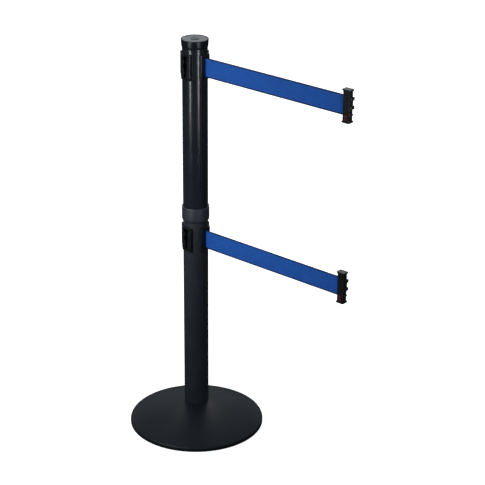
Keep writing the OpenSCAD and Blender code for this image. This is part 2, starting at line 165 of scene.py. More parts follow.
def loft(rings: np.ndarray, ends: Ends = Ends.CAPPED) -> Surface:
    """Skins a row of rings: point (i, j) of the grid joins (i + 1, j) and (i, j + 1).

    Args:
        rings: The grid of points, with shape (rings, points in a ring, 3).
        ends: How the first and the last ring are closed.

    Returns:
        The closed surface.
    """
    rows, columns, _ = rings.shape
    index = np.arange(rows * columns).reshape(rows, columns)
    if ends is Ends.JOINED:
        index = np.vstack([index, index[:1]])
    beside = np.roll(index, -1, axis=1)
    quads = np.stack([index[:-1], beside[:-1], beside[1:], index[1:]], axis=-1)
    faces = [quads.reshape(-1, 4)]
    if ends is Ends.CAPPED:
        faces += [index[:1, ::-1], index[-1:]]
    return Surface(rings.reshape(-1, 3), faces)


def fillet(corners: np.ndarray, radii: float | np.ndarray, steps: int = 5) -> np.ndarray:
    """Rounds the corners of a closed outline.

    Each arc touches both sides of its corner. Its centre lies on the corner's bisector, at
    the radius over the sine of half the corner's angle, and its points are spread evenly
    between the two radii that meet the sides.

    Args:
        corners: The outline's corners, anticlockwise, with shape (n, 2).
        radii: One radius for all corners, or one for each.
        steps: Steps along each arc.

    Returns:
        The rounded outline's points, with shape (n * (steps + 1), 2).
    """
    corners = np.asarray(corners, float)
    radius = np.broadcast_to(np.asarray(radii, float), len(corners))[:, None]
    back = unit(np.roll(corners, 1, axis=0) - corners)
    on = unit(np.roll(corners, -1, axis=0) - corners)
    half = np.arccos(np.clip((back * on).sum(axis=1, keepdims=True), -1, 1)) / 2
    centre = corners + unit(back + on) * radius / np.sin(half)
    reach = radius / np.tan(half)
    first, last = corners + back * reach - centre, corners + on * reach - centre
    turn = math.pi - 2 * half
    t = np.linspace(0, 1, steps + 1)[None, :]
    share_first = (np.sin((1 - t) * turn) / np.sin(turn))[..., None]
    share_last = (np.sin(t * turn) / np.sin(turn))[..., None]
    points = centre[:, None] + share_first * first[:, None] + share_last * last[:, None]
    return points.reshape(-1, 2)


def rectangle(half_x: float, half_y: float, radius: float, steps: int = 5) -> np.ndarray:
    """Returns the outline of a rectangle round the origin with rounded corners."""
    corners = [(-half_x, -half_y), (half_x, -half_y), (half_x, half_y), (-half_x, half_y)]
    return fillet(np.array(corners), radius, steps)


def outward(outline: np.ndarray) -> np.ndarray:
    """Works out an outline's outward normals: across the mean of its two sides at each point.

    Args:
        outline: The outline, anticlockwise, with shape (n, 2).

    Returns:
        The normals, with shape (n, 2).
    """
    on = unit(np.roll(outline, -1, axis=0) - outline)
    back = unit(outline - np.roll(outline, 1, axis=0))
    tangent = unit(on + back)
    return np.stack([tangent[:, 1], -tangent[:, 0]], axis=-1)


def prism(
    outline: np.ndarray, foot: float, top: float, edge: float, steps: int = 4
) -> Surface:
    """Carries an outline from foot to top and rounds both rims over a quarter circle.

    At the angle a of the quarter circle the outline is drawn in by edge * (1 - sin a), and
    stands edge * (1 - cos a) inside the end.

    Args:
        outline: The outline, anticlockwise, seen from above.
        foot: Height of the lower end.
        top: Height of the upper end.
        edge: Radius of the rims.
        steps: Steps along each rim.

    Returns:
        The closed solid.
    """
    turn = np.linspace(0, QUARTER, steps + 1)
    inset, rise = edge * (1 - np.sin(turn)), edge * (1 - np.cos(turn))
    inset = np.concatenate([inset, inset[::-1]])
    height = np.concatenate([foot + rise, top - rise[::-1]])
    flat = outline[None] - inset[:, None, None] * outward(outline)[None]
    level = np.broadcast_to(height[:, None, None], (*flat.shape[:2], 1))
    return loft(np.concatenate([flat, level], axis=-1))


def lathe(profile: np.ndarray, ends: Ends = Ends.JOINED, segments: int = 144) -> Surface:
    """Turns a profile of radius and height about the post's axis.

    Args:
        profile: The profile, with shape (n, 2). With open ends it starts and ends on the axis.
        ends: JOINED for a closed profile, OPEN for one that starts and ends on the axis.
        segments: Points round the turn.

    Returns:
        The closed solid of revolution.
    """
    angle = np.arange(segments) * (2 * math.pi / segments)
    radius = profile[:, :1]
    height = np.broadcast_to(profile[:, 1:], (len(profile), segments))
    rings = np.stack([radius * np.cos(angle), radius * np.sin(angle), height], axis=-1)
    return loft(rings, ends)


def band(foot: float, top: float, inner: float, outer: float, edge: float) -> Surface:
    """Returns a turned ring with a rectangular section and rounded edges."""
    corners = np.array([(inner, foot), (outer, foot), (outer, top), (inner, top)])
    return lathe(fillet(corners, edge))


def wire(path: np.ndarray, side: np.ndarray, radius: float, sides: int = 10) -> Surface:
    """Carries a circle along a path: cos times one side direction plus sin times the other.

    Args:
        path: The wire's centreline, with shape (n, 3).
        side: At each point, a direction across the path.
        radius: Radius of the wire.
        sides: Points round the wire.

    Returns:
        The wire, with flat ends.
    """
    along = unit(np.gradient(path, axis=0))
    side = unit(side - along * (side * along).sum(axis=1, keepdims=True))
    other = np.cross(along, side)
    angle = (np.arange(sides) * (2 * math.pi / sides))[None, :, None]
    circle = np.cos(angle) * side[:, None] + np.sin(angle) * other[:, None]
    return loft(path[:, None] + radius * circle)


def ribbon(
    line: np.ndarray, width: float, thick: float, edge: float, across: int = 12
) -> Surface:
    """Carries a flat section along a line in plan, as woven webbing runs.

    The section is a rectangle whose two selvedges are half circles. Its u runs along the
    line and its v across the width, both in metres.

    Args:
        line: The centreline in plan, with shape (n, 2).
        width: Height of the upright ribbon.
        thick: Thickness of the cloth.
        edge: Thickness of the two selvedges.
        across: Steps across the width.

    Returns:
        The ribbon, centred on height zero.
    """
    forward = unit(np.gradient(line, axis=0))
    normal = np.stack([-forward[:, 1], forward[:, 0]], axis=-1)
    run = np.concatenate([[0], np.cumsum(np.linalg.norm(np.diff(line, axis=0), axis=1))])
    inside = np.linspace(-1, 1, across + 1) * (width / 2 - 2 * edge)
    turn = np.linspace(-QUARTER, QUARTER, 5)
    rim_height = width / 2 - edge / 2 + edge / 2 * np.cos(turn)
    rim_off = edge / 2 * np.sin(turn)
    height = np.concatenate([inside, rim_height, inside[::-1], -rim_height])
    side = np.full(across + 1, thick / 2)
    off = np.concatenate([-side, rim_off, side, -rim_off])
    flat = line[:, None] + normal[:, None] * off[None, :, None]
    level = np.broadcast_to(height[None, :, None], (*flat.shape[:2], 1))
    surface = loft(np.concatenate([flat, level], axis=-1))
    u, v = np.broadcast_arrays(run[:, None], height[None, :])
    surface.uv = np.stack([u.ravel(), v.ravel()], axis=-1)
    return surface


@dataclass
class Lattice:
    """A block of cells between three sets of planes, from which boxes are filled and cut.

    Attributes:
        boxes: Every box that will be filled or cut, so that a plane runs along each side.
        extra: More planes across x, y and z, for parts that are bent afterwards.
        planes: Where the planes stand on each of the three axes.
        solid: For each cell, whether it is filled.
    """

    boxes: list[Box]
    extra: tuple[np.ndarray, np.ndarray, np.ndarray] = (NO_PLANES,) * 3
    planes: list[np.ndarray] = field(init=False)
    solid: np.ndarray = field(init=False)

    def __post_init__(self) -> None:
        """Places the planes and empties every cell."""
        self.planes = [
            np.unique(np.round([*np.ravel([box[axis] for box in self.boxes]), *more], 7))
            for axis, more in enumerate(self.extra)
        ]
        self.solid = np.zeros([len(values) - 1 for values in self.planes], bool)

    def put(self, value: bool, boxes: tuple[Box, ...]) -> "Lattice":
        """Fills or empties the cells whose middles lie in any of the boxes.

        Args:
            value: True to fill, False to empty.
            boxes: The boxes.

        Returns:
            The same lattice.
        """
        middles = [(values[1:] + values[:-1]) / 2 for values in self.planes]
        for box in boxes:
            inside = [(at > low) & (at < high) for at, (low, high) in zip(middles, box)]
            self.solid[np.ix_(*inside)] = value
        return self

    def fill(self, *boxes: Box) -> "Lattice":
        """Fills the boxes and returns the lattice."""
        return self.put(True, boxes)

    def cut(self, *boxes: Box) -> "Lattice":
        """Empties the boxes and returns the lattice."""
        return self.put(False, boxes)

    def surface(self, wrap_y: bool = False) -> Surface:
        """Makes a quad wherever a solid cell meets an empty one.

        Args:
            wrap_y: True where the last cells across y meet the first ones, as round a tube.

        Returns:
            The skin of the solid cells.
        """
        cells = np.pad(self.solid, ((1, 1), (0, 0) if wrap_y else (1, 1), (1, 1)))
        if wrap_y:
            cells = np.concatenate([cells[:, -1:], cells, cells[:, :1]], axis=1)
        shape = tuple(len(values) for values in self.planes)
        quads = []
        for axis in range(3):
            trim = tuple(slice(None) if a == axis else slice(1, -1) for a in range(3))
            first = np.argwhere(np.diff(cells.astype(int), axis=axis)[trim])
            one, other = [a for a in range(3) if a != axis]
            step = np.zeros((4, 3), int)
            step[1:3, one], step[2:4, other] = 1, 1
            corners = first[:, None] + step
            quads.append(np.ravel_multi_index(tuple(corners.transpose(2, 0, 1)), shape))
        quads = np.vstack(quads)
        used, faces = np.unique(quads, return_inverse=True)
        places = np.unravel_index(used, shape)
        points = [values[place] for values, place in zip(self.planes, places)]
        points = np.stack(points, axis=-1)
        return Surface(points, [faces.reshape(quads.shape)])


def rounded_uprights(
    points: np.ndarray, half_x: float, half_y: float, radius: float
) -> np.ndarray:
    """Rounds the four upright edges of a block round the z axis.

    A corner square of side radius is mapped to a quarter disc: its u and v, counted from the
    disc's centre, become u * sqrt(1 - v^2 / 2) and v * sqrt(1 - u^2 / 2).

    Args:
        points: The block's points.
        half_x: Half the block's size along x.
        half_y: Half the block's size along y.
        radius: Radius of the edges.

    Returns:
        The moved points.
    """
    centre = np.array([half_x - radius, half_y - radius])
    sign, flat = np.sign(points[:, :2]), np.abs(points[:, :2])
    u, v = (np.maximum(flat - centre, 0) / radius).T
    disc = np.stack([u * np.sqrt(1 - v**2 / 2), v * np.sqrt(1 - u**2 / 2)], axis=-1)
    moved = sign * (np.minimum(flat, centre) + radius * disc)
    return np.column_stack([moved, points[:, 2]])


# ---------------------------------------------------------------- finishes


def linear(code: str) -> tuple[float, float, float, float]:
    """Turns an sRGB hex colour into the linear colour that shaders read.

    Args:
        code: The colour, such as "#1b2127".

    Returns:
        Red, green, blue and alpha, each from 0 to 1.
    """
    values = [int(code[i : i + 2], 16) / 255 for i in (1, 3, 5)]
    light = [v / 12.92 if v <= 0.04045 else ((v + 0.055) / 1.055) ** 2.4 for v in values]
    return (*light, 1.0)


def add(
    tree: bpy.types.NodeTree,
    kind: str,
    inputs: dict[str | int, object] | None = None,
    stops: tuple[tuple[float, str], ...] = (),
    **settings: str,
) -> bpy.types.Node:
    """Adds a node to a tree.

    Args:
        tree: The tree.
        kind: The node's type, without its "ShaderNode" prefix.
        inputs: What each input gets, by its name or number. A socket is linked, a node is
            linked by its first output, and anything else is set as the input's value.
        stops: The two ends of a colour ramp, each with its place and its hex colour.
        settings: The node's own settings.

    Returns:
        The new node.
    """
    node = tree.nodes.new("ShaderNode" + kind)
    for name, value in settings.items():
        setattr(node, name, value)
    for key, value in (inputs or {}).items():
        source = value.outputs[0] if isinstance(value, bpy.types.Node) else value
        if isinstance(source, bpy.types.NodeSocket):
            tree.links.new(source, node.inputs[key])
        else:
            node.inputs[key].default_value = source
    for number, (place, code) in enumerate(stops):
        element = node.color_ramp.elements[number]
        element.position, element.color = place, linear(code)
    return node


@dataclass(frozen=True)
class Finish:
    """What a surface is made of and how it was made.

    Attributes:
        name: The material's name.
        slot: The record's material slot; not used.
        colour: The main colour, in sRGB hex.
        shade: The colour of its darker or worn patches, in sRGB hex.
        roughness: Mean roughness.
        spread: How far the roughness strays from its mean.
        grain: Size of the surface's grain in metres.
        relief: Depth of the grain in metres.
        specular: Specular level, 0.5 for a plain dielectric.
        metallic: 1 for bare metal, 0 for anything else.
        cloud: Size in metres of the patches that differ in colour.
        smear: Size in metres of the patches that differ in gloss, as hands leave them.
    """

    name: str
    slot: str
    colour: str
    shade: str
    roughness: float = 0.5
    spread: float = 0.06
    grain: float = 0.8 * MM
    relief: float = 0.02 * MM
    specular: float = 0.5
    metallic: float = 0.0
    cloud: float = 70 * MM
    smear: float = 33 * MM

    def material(self) -> bpy.types.Material:
        """Makes the material the first time that it is asked for.

        Returns:
            The material.
        """
        found = bpy.data.materials.get(self.name)
        if found:
            return found
        material = bpy.data.materials.new(self.name)
        material.use_nodes = True
        tree = material.node_tree
        tree.nodes.clear()
        add(tree, "OutputMaterial", {"Surface": self.shader(tree)})
        return material

    def pattern(self, tree: bpy.types.NodeTree) -> Pattern:
        """Makes a cloudy colour and a fine, even grain.

        Args:
            tree: The material's tree.

        Returns:
            The colour, and the height from 0 to 1 that the relief scales.
        """
        place = add(tree, "TexCoord").outputs["Object"]
        fine = add(tree, "TexNoise", {"Vector": place, "Scale": 1 / self.grain, "Detail": 3.0})
        patches = {"Vector": place, "Scale": 1 / self.cloud, "Detail": 4.0, "Roughness": 0.6}
        cloud = add(tree, "TexNoise", patches)
        colour = add(tree, "ValToRGB", {"Fac": cloud}, ((0.35, self.shade), (0.65, self.colour)))
        return colour.outputs[0], fine.outputs[0]

    def shader(self, tree: bpy.types.NodeTree) -> bpy.types.Node:
        """Makes the shader, whose gloss changes in soft patches and whose relief is a bump.

        Args:
            tree: The material's tree.

        Returns:
            The shader node.
        """
        colour, height = self.pattern(tree)
        place = add(tree, "TexCoord").outputs["Object"]
        patches = {"Vector": place, "Scale": 1 / self.smear, "Detail": 5.0, "Roughness": 0.65}
        gloss = {
            "Value": add(tree, "TexNoise", patches),
            "From Min": 0.3,
            "From Max": 0.7,
            "To Min": self.roughness - self.spread,
            "To Max": self.roughness + self.spread,
        }
        bump = {"Height": height, "Strength": 1.0, "Distance": self.relief}
        settings = {
            "Base Color": colour,
            "Metallic": self.metallic,
            "Specular IOR Level": self.specular,
            "Roughness": add(tree, "MapRange", gloss),
            "Normal": add(tree, "Bump", bump),
        }
        return add(tree, "BsdfPrincipled", settings | self.extras())

    def extras(self) -> dict[str, float]:
        """Returns further fixed values for the shader's own sockets."""
        return {}


@dataclass(frozen=True)
class PowderCoat(Finish):
    """Polyester powder baked on steel: a fine orange peel over a slightly cloudy colour."""

    def pattern(self, tree: bpy.types.NodeTree) -> Pattern:
        """Adds the orange peel, which is the distance to the nearest of scattered points.

        Args:
            tree: The material's tree.

        Returns:
            The colour and the orange peel's height.
        """
        colour, fine = super().pattern(tree)
        place = add(tree, "TexCoord").outputs["Object"]
        cells = {"Vector": place, "Scale": 0.45 / self.grain, "Smoothness": 0.6}
        peel = add(tree, "TexVoronoi", cells, feature="SMOOTH_F1")
        speck = add(tree, "ValToRGB", {"Fac": peel}, ((0.0, "#ffffff"), (0.5, "#dcdcdc")))
        colours = {0: 0.5, 6: colour, 7: speck}
        mixed = add(tree, "Mix", colours, data_type="RGBA", blend_type="MULTIPLY")
        height = add(tree, "Math", {0: fine, 1: peel}, operation="ADD")
        return mixed.outputs[2], height.outputs[0]


@dataclass(frozen=True)
class Moulded(Finish):
    """Injection-moulded ABS: an even spark-eroded grain, paler where hands have rubbed it."""


@dataclass(frozen=True)
class BareMetal(Finish):
    """Turned or drawn metal: fine tool marks run round or across the piece.

    Attributes:
        lay: How much finer the marks are along x, y and z.
    """

    lay: tuple[float, float, float] = (1.0, 1.0, 30.0)

    def pattern(self, tree: bpy.types.NodeTree) -> Pattern:
        """Stretches the grain into tool marks, drawn ten times as coarse as real ones.

        Args:
            tree: The material's tree.

        Returns:
            The colour and the marks' height.
        """
        place = add(tree, "TexCoord").outputs["Object"]
        drawn = add(tree, "Mapping", {"Vector": place, "Scale": self.lay})
        marks = add(tree, "TexNoise", {"Vector": drawn, "Scale": 0.1 / self.grain, "Detail": 6.0})
        colour = add(tree, "ValToRGB", {"Fac": marks}, ((0.3, self.shade), (0.7, self.colour)))
        return colour.outputs[0], marks.outputs[0]


@dataclass(frozen=True)
class Webbing(Finish):
    """Woven polyester: a herringbone twill with a dark selvedge along both edges.

    Its UV map runs along and across the belt in metres.

    Attributes:
        pitch: Distance between the ribs of the weave. The real yarns are 0.5 mm apart, and
            they are drawn at four times that so that they show at arm's length.
        half_width: Distance from the belt's middle to its edge.
        selvedge: Width of each dark selvedge.
        edge_colour: The selvedges' colour, in sRGB hex.
    """

    pitch: float = 2.0 * MM
    half_width: float = 25 * MM
    selvedge: float = 3.6 * MM
    edge_colour: str = "#0b1c40"

    def pattern(self, tree: bpy.types.NodeTree) -> Pattern:
        """Crosses slanted ribs, which turn back across the belt as a herringbone does.

        The ribs' height is the sine of u plus the folded v over the pitch. Half as strong,
        the sine of v over 0.8 pitches adds the picks that lie across them.

        Args:
            tree: The material's tree.

        Returns:
            The colour and the weave's height.
        """
        place = add(tree, "TexCoord").outputs["UV"]
        u, v, _ = add(tree, "SeparateXYZ", {"Vector": place}).outputs
        per_rib = 2 * math.pi / self.pitch
        fold = add(tree, "Math", {0: v, 1: 6 * self.pitch}, operation="PINGPONG")
        slant = add(tree, "Math", {0: u, 1: fold}, operation="ADD")
        phase = add(tree, "Math", {0: slant, 1: per_rib}, operation="MULTIPLY")
        ribs = add(tree, "Math", {0: phase}, operation="SINE")
        across = add(tree, "Math", {0: v, 1: per_rib / 0.8}, operation="MULTIPLY")
        picks = add(tree, "Math", {0: across}, operation="SINE")
        weave = add(tree, "Math", {0: picks, 1: 0.5, 2: ribs}, operation="MULTIPLY_ADD")
        height = add(tree, "Math", {0: weave, 1: 0.33, 2: 0.5}, operation="MULTIPLY_ADD")
        depth = add(tree, "Math", {0: weave, 1: 0.25, 2: 0.5}, operation="MULTIPLY_ADD")
        cloud = add(tree, "TexNoise", {"Vector": place, "Scale": 1 / self.cloud, "Detail": 3.0})
        body = add(tree, "ValToRGB", {"Fac": cloud}, ((0.3, self.shade), (0.7, self.colour)))
        shadow = add(tree, "ValToRGB", {"Fac": depth}, ((0.1, "#8e97b4"), (0.8, "#ffffff")))
        colours = {0: 0.85, 6: body, 7: shadow}
        woven = add(tree, "Mix", colours, data_type="RGBA", blend_type="MULTIPLY")
        beside = add(tree, "Math", {0: v}, operation="ABSOLUTE")
        inner = self.half_width - self.selvedge
        past = add(tree, "Math", {0: beside, 1: inner}, operation="SUBTRACT")
        on_edge = add(tree, "MapRange", {"Value": past, "From Min": 0.0, "From Max": 0.3 * MM})
        colours = {0: on_edge, 6: woven.outputs[2], 7: linear(self.edge_colour)}
        return add(tree, "Mix", colours, data_type="RGBA").outputs[2], height.outputs[0]

    def extras(self) -> dict[str, float]:
        """Returns the sheen of polyester yarn."""
        return {"Sheen Weight": 0.08, "Sheen Roughness": 0.4}


# Satin black powder coat: dark, slightly blue, glossy enough to show the lamps as lines.
TUBE_UPPER = PowderCoat(
    "satin_black_powder_coat", "tube_coat_satin", "#1c2127", "#171b21",
    roughness=0.24, spread=0.03, grain=0.9 * MM, relief=0.012 * MM, specular=0.31,
)
# Matt black powder coat with a dull sheen, painted greyer and lighter to stand in for missing
# light.
TUBE_LOWER_PAINTED_LIGHT = PowderCoat(
    "matt_black_powder_coat", "tube_coat_matt", "#2d3036", "#272a2f",
    roughness=0.42, spread=0.04, grain=0.9 * MM, relief=0.02 * MM, specular=0.25,
)
# Textured powder coat: a coarser orange peel that hides scuffs from feet.
BASE_COAT = PowderCoat(
    "textured_black_powder_coat", "base_coat", "#181d22", "#13181d",
    roughness=0.46, spread=0.05, grain=1.1 * MM, relief=0.03 * MM, specular=0.25,
)
# Moulded ABS of the collar: a smooth skin with a soft, pale sheen.
COLLAR = Moulded(
    "satin_black_abs", "collar_plastic", "#20242f", "#1a1e28",
    roughness=0.42, spread=0.04, grain=0.5 * MM, relief=0.006 * MM, specular=1.0,
)
# Moulded ABS of the cap: darker and shinier, from a better polished mould.
CAP = Moulded(
    "satin_black_abs_cap", "cap_plastic", "#12161d", "#0e1217",
    roughness=0.30, spread=0.04, grain=0.5 * MM, relief=0.006 * MM, specular=0.18,
)
# Polished acrylic disc in the cap that mirrors what is above it; its mid grey paints in more of
# that reflection.
CAP_DISC = Moulded(
    "polished_grey_acrylic", "cap_disc_plastic", "#4d5359", "#454a50",
    roughness=0.10, spread=0.03, grain=0.5 * MM, relief=0.001 * MM, specular=0.8,
)
# Moulded nylon: slightly waxy.
PLUG = Moulded(
    "black_nylon", "plug_plastic", "#1e2126", "#191c20",
    roughness=0.3, spread=0.05, grain=0.4 * MM, relief=0.01 * MM, specular=0.25,
)
# Moulded ABS with a spark-eroded grain: matt, and a little darker than the tubes.
FRAME_BLACK = Moulded(
    "grained_black_abs", "receiver_plastic", "#101316", "#0c0f12",
    roughness=0.36, spread=0.05, grain=0.5 * MM, relief=0.012 * MM, specular=0.45,
)
# Glass-filled nylon: tough, grained and dull.
END_BLACK = Moulded(
    "moulded_black_nylon", "end_plastic", "#131516", "#0e1011",
    roughness=0.42, spread=0.05, grain=0.5 * MM, relief=0.015 * MM, specular=0.35,
)
# Grey nylon of the parts inside: an even, dull skin straight from the mould.
INNER_BLACK = Moulded(
    "moulded_grey_nylon", "inner_plastic", "#2a2c2f", "#222427",
    roughness=0.5, spread=0.05, grain=0.6 * MM, relief=0.02 * MM,
)
# Moulded acetal: slippery, so a shade glossier than nylon.
SPOOL_GREY = Moulded(
    "moulded_acetal", "spool_plastic", "#3b3e42", "#333639",
    roughness=0.4, spread=0.05, grain=0.6 * MM, relief=0.01 * MM,
)
# Moulded ABS of the release tab, kept shiny by hands; its red is darkened as painted shade at the
# clip's foot.
TAB_RED_PAINTED_SHADE = Moulded(
    "glossy_red_abs", "tab_plastic", "#4a1f27", "#3b181e",
    roughness=0.34, spread=0.05, grain=0.4 * MM, relief=0.004 * MM,
)
# Rubber: nearly without gloss, with a chalky bloom.
RUBBER = Finish(
    "moulded_rubber", "pad_rubber", "#1b1c1e", "#262729",
    roughness=0.82, spread=0.06, grain=0.7 * MM, relief=0.04 * MM, specular=0.3,
)
# Grey cast iron as it left the sand: coarse, dull and dark.
CAST_IRON = Finish(
    "sand_cast_iron", "cast_weight", "#3a3b3d", "#2c2a29",
    roughness=0.78, spread=0.08, grain=1.6 * MM, relief=0.25 * MM, metallic=0.6,
)
# Zinc-plated steel: pale and bright, with fine tool marks.
BRIGHT_STEEL = BareMetal(
    "bright_zinc_steel", "bright_steel", "#b9bcc0", "#8f9398",
    roughness=0.3, spread=0.06, grain=0.1 * MM, relief=0.004 * MM, metallic=1.0,
)
# Oiled steel: darker, with an uneven film.
DARK_STEEL = BareMetal(
    "oiled_steel", "dark_steel", "#66696d", "#4a4c50",
    roughness=0.42, spread=0.08, grain=0.1 * MM, relief=0.006 * MM, metallic=1.0,
)
# Tempered spring steel: rolled smooth, with a bluish temper colour.
SPRING_STEEL = BareMetal(
    "tempered_spring_steel", "spring_steel", "#7d838a", "#5f6874",
    roughness=0.32, spread=0.06, grain=0.1 * MM, relief=0.003 * MM, metallic=1.0,
)
# Turned brass: yellow, bright and round-marked.
BRASS = BareMetal(
    "turned_brass", "bush_brass", "#c79a4b", "#9c7432",
    roughness=0.28, spread=0.05, grain=0.1 * MM, relief=0.004 * MM, metallic=1.0,
)
# Pressed wool felt: no gloss at all, and a fuzzy, uneven face.
FELT = Finish(
    "pressed_wool_felt", "felt", "#8c8576", "#766f61",
    roughness=0.95, spread=0.03, grain=0.35 * MM, relief=0.12 * MM, specular=0.2,
)
# Woven polyester: a strong blue that the weave's own shadows break up.
BELT_BLUE = Webbing(
    "blue_polyester_webbing", "belt_webbing", "#225cb0", "#2057a6",
    roughness=0.75, spread=0.05, grain=0.5 * MM, relief=0.12 * MM, specular=0.15,
    cloud=17 * MM,
)


# ---------------------------------------------------------------- pieces


def bounds_of(*nodes: str) -> tuple[np.ndarray, np.ndarray]:
    """Returns the lowest and highest corner of one or more CAD nodes."""
    boxes = [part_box(node) for node in nodes]
    return np.min([low for low, _ in boxes], axis=0), np.max([high for _, high in boxes], axis=0)


def make_piece(
    name: str,
    surface: Surface,
    body: str | None,
    finish: Finish,
    replaces: str,
    bevel: float = 0.0,
    crease: float = 32.0,
) -> bpy.types.Object:
    """Makes a closed, outward-facing piece that stands for a CAD node.

    Args:
        name: The piece's name.
        surface: Its points and faces.
        body: The body that it rides on, or None for a piece that rides on no body.
        finish: Its finish.
        replaces: The CAD node that it stands for.
        bevel: Width of the bevel on its sharp edges, or 0 for none.
        crease: Angle in degrees past which an edge is shaded as sharp.

    Returns:
        The object.
    """
    mesh = surface.mesh(name)
    work = bmesh.new()
    work.from_mesh(mesh)
    bmesh.ops.remove_doubles(work, verts=work.verts, dist=1e-6)
    bmesh.ops.recalc_face_normals(work, faces=work.faces)
    work.to_mesh(mesh)
    work.free()
    mesh.shade_smooth()
    mesh.set_sharp_from_angle(angle=math.radians(crease))
    mesh.materials.append(finish.material())
    piece = bpy.data.objects.new(name, mesh)
    bpy.context.scene.collection.objects.link(piece)
    if bevel:
        soften = piece.modifiers.new("soft_edges", "BEVEL")
        soften.width, soften.segments = bevel, 2
        soften.limit_method, soften.angle_limit = "ANGLE", math.radians(30)
        soften.harden_normals = True
    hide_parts(replaces)
    if body:
        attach(piece, body)
    LOG.info("made %s: %d faces", name, len(mesh.polygons))
    return piece


def dress(node: str, finish: Finish) -> None:
    """Gives a CAD node that keeps its own mesh a finish.

    Args:
        node: The CAD node.
        finish: Its finish.
    """
    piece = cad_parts[node]
    piece.data.materials.clear()
    piece.data.materials.append(finish.material())
    LOG.info("dressed %s", node)


@dataclass
class Base:
    """The weighted foot: a domed cover over a cast weight on a rubber pad.

    Attributes:
        rim: Height of the middle of the rolled rim's arc.
        rim_round: Radius that the rim is rolled over with.
        crown: Radius of the crown between the rolled rim and the post's seat.
        sheet: Thickness of the cover.
        seat_margin: How far the flat seat reaches past the tube.
        hole: Radius of the bolt's hole in the cover.
        hem: Size of the chamfer round the outside of the cover's foot.
        burr: Size of the chamfer round its inside.
        ribs: Number of round ribs under the pad.
        ribbed: Where the ribs start and end, as shares of the pad's radius.
        rib: Section of one rib, as steps from its middle and up from the floor.
    """

    rim: float = 8 * MM
    rim_round: float = 6 * MM
    crown: float = 520 * MM
    sheet: float = 1.5 * MM
    seat_margin: float = 1.5 * MM
    hole: float = 6.5 * MM
    hem: Span = (0.4 * MM, 0.5 * MM)
    burr: float = 0.3 * MM
    ribs: int = 12
    ribbed: Span = (0.12, 0.94)
    rib: tuple[Span, ...] = ((-2, 0), (-1.4, 1), (1.4, 1), (2, 0))

    def cover_profile(self) -> np.ndarray:
        """Works out the cover's section as a closed outline.

        The crown is an arc through the seat's edge that meets the rolled rim's arc without a
        kink. So its centre is one crown radius from the seat's edge and the difference of
        the two radii from the rim's centre. The inside runs one sheet thickness within.

        Returns:
            Radius and height, anticlockwise, with shape (n, 2).
        """
        low, high = bounds_of("base_cover")
        reach, foot, top = high[0], low[2], high[2]
        seat = np.array([bounds_of("lower_tube")[1][0] + self.seat_margin, top])
        roll = np.array([reach - self.rim_round, self.rim])
        gap = np.linalg.norm(roll - seat)
        along = (roll - seat) / gap
        share = (self.crown**2 - (self.crown - self.rim_round) ** 2 + gap**2) / (2 * gap)
        below = math.sqrt(self.crown**2 - share**2)
        centre = seat + share * along + below * np.array([along[1], -along[0]])
        from_seat, to_roll = seat - centre, roll - centre
        start = math.atan2(from_seat[1], from_seat[0])
        end = math.atan2(to_roll[1], to_roll[0])
        crown, roll_over = np.linspace(start, end, 40), np.linspace(end, 0, 14)

        def skin(depth: float, last: list[Span]) -> np.ndarray:
            """Works out one side of the sheet, from the hole to the foot.

            Args:
                depth: How far it lies within the outside.
                last: Its last points, at the foot.

            Returns:
                Radius and height, with shape (n, 2).
            """
            arcs = [
                middle + (radius - depth) * np.stack([np.cos(angle), np.sin(angle)], axis=-1)
                for middle, radius, angle in (
                    (centre, self.crown, crown),
                    (roll, self.rim_round, roll_over),
                )
            ]
            return np.vstack([[(self.hole, top - depth)], arcs[0], arcs[1][1:], last])

        bore = reach - self.sheet
        outside = skin(0.0, [(reach, foot + self.hem[1]), (reach - self.hem[0], foot)])
        inside = skin(self.sheet, [(bore, foot + self.burr), (bore + self.burr, foot)])
        return np.vstack([outside[::-1], inside])[::-1]

    def pad_profile(self) -> np.ndarray:
        """Works out the pad's section: a chamfered disc with round ribs on its underside.

        Returns:
            Radius and height from the middle of the underside to that of the top.
        """
        reach, _, top = bounds_of("floor_pad")[1]
        ribs = np.linspace(*self.ribbed, self.ribs) * reach
        under = np.stack([ribs, ribs * 0], axis=-1)[:, None] + np.array(self.rib) * MM
        foot_edge, top_edge = 1 * MM, 0.5 * MM
        rim = [(reach - foot_edge, 0), (reach, foot_edge), (reach, top - top_edge)]
        rim.append((reach - top_edge, top))
        return np.vstack([[(0, 0)], under.reshape(-1, 2), rim, [(0, top)]])

    def build(self) -> None:
        """Makes the cover and the pad, and dresses what is under them."""
        cover = lathe(self.cover_profile(), segments=192)
        make_piece("domed_cover", cover, POST, BASE_COAT, "base_cover")
        pad = lathe(self.pad_profile(), Ends.OPEN)
        make_piece("ribbed_pad", pad, POST, RUBBER, "floor_pad")
        dress("base_weight", CAST_IRON)
        dress("base_bolt", BRIGHT_STEEL)
        dress("base_washer", BRIGHT_STEEL)
        dress("foot_plug", DARK_STEEL)


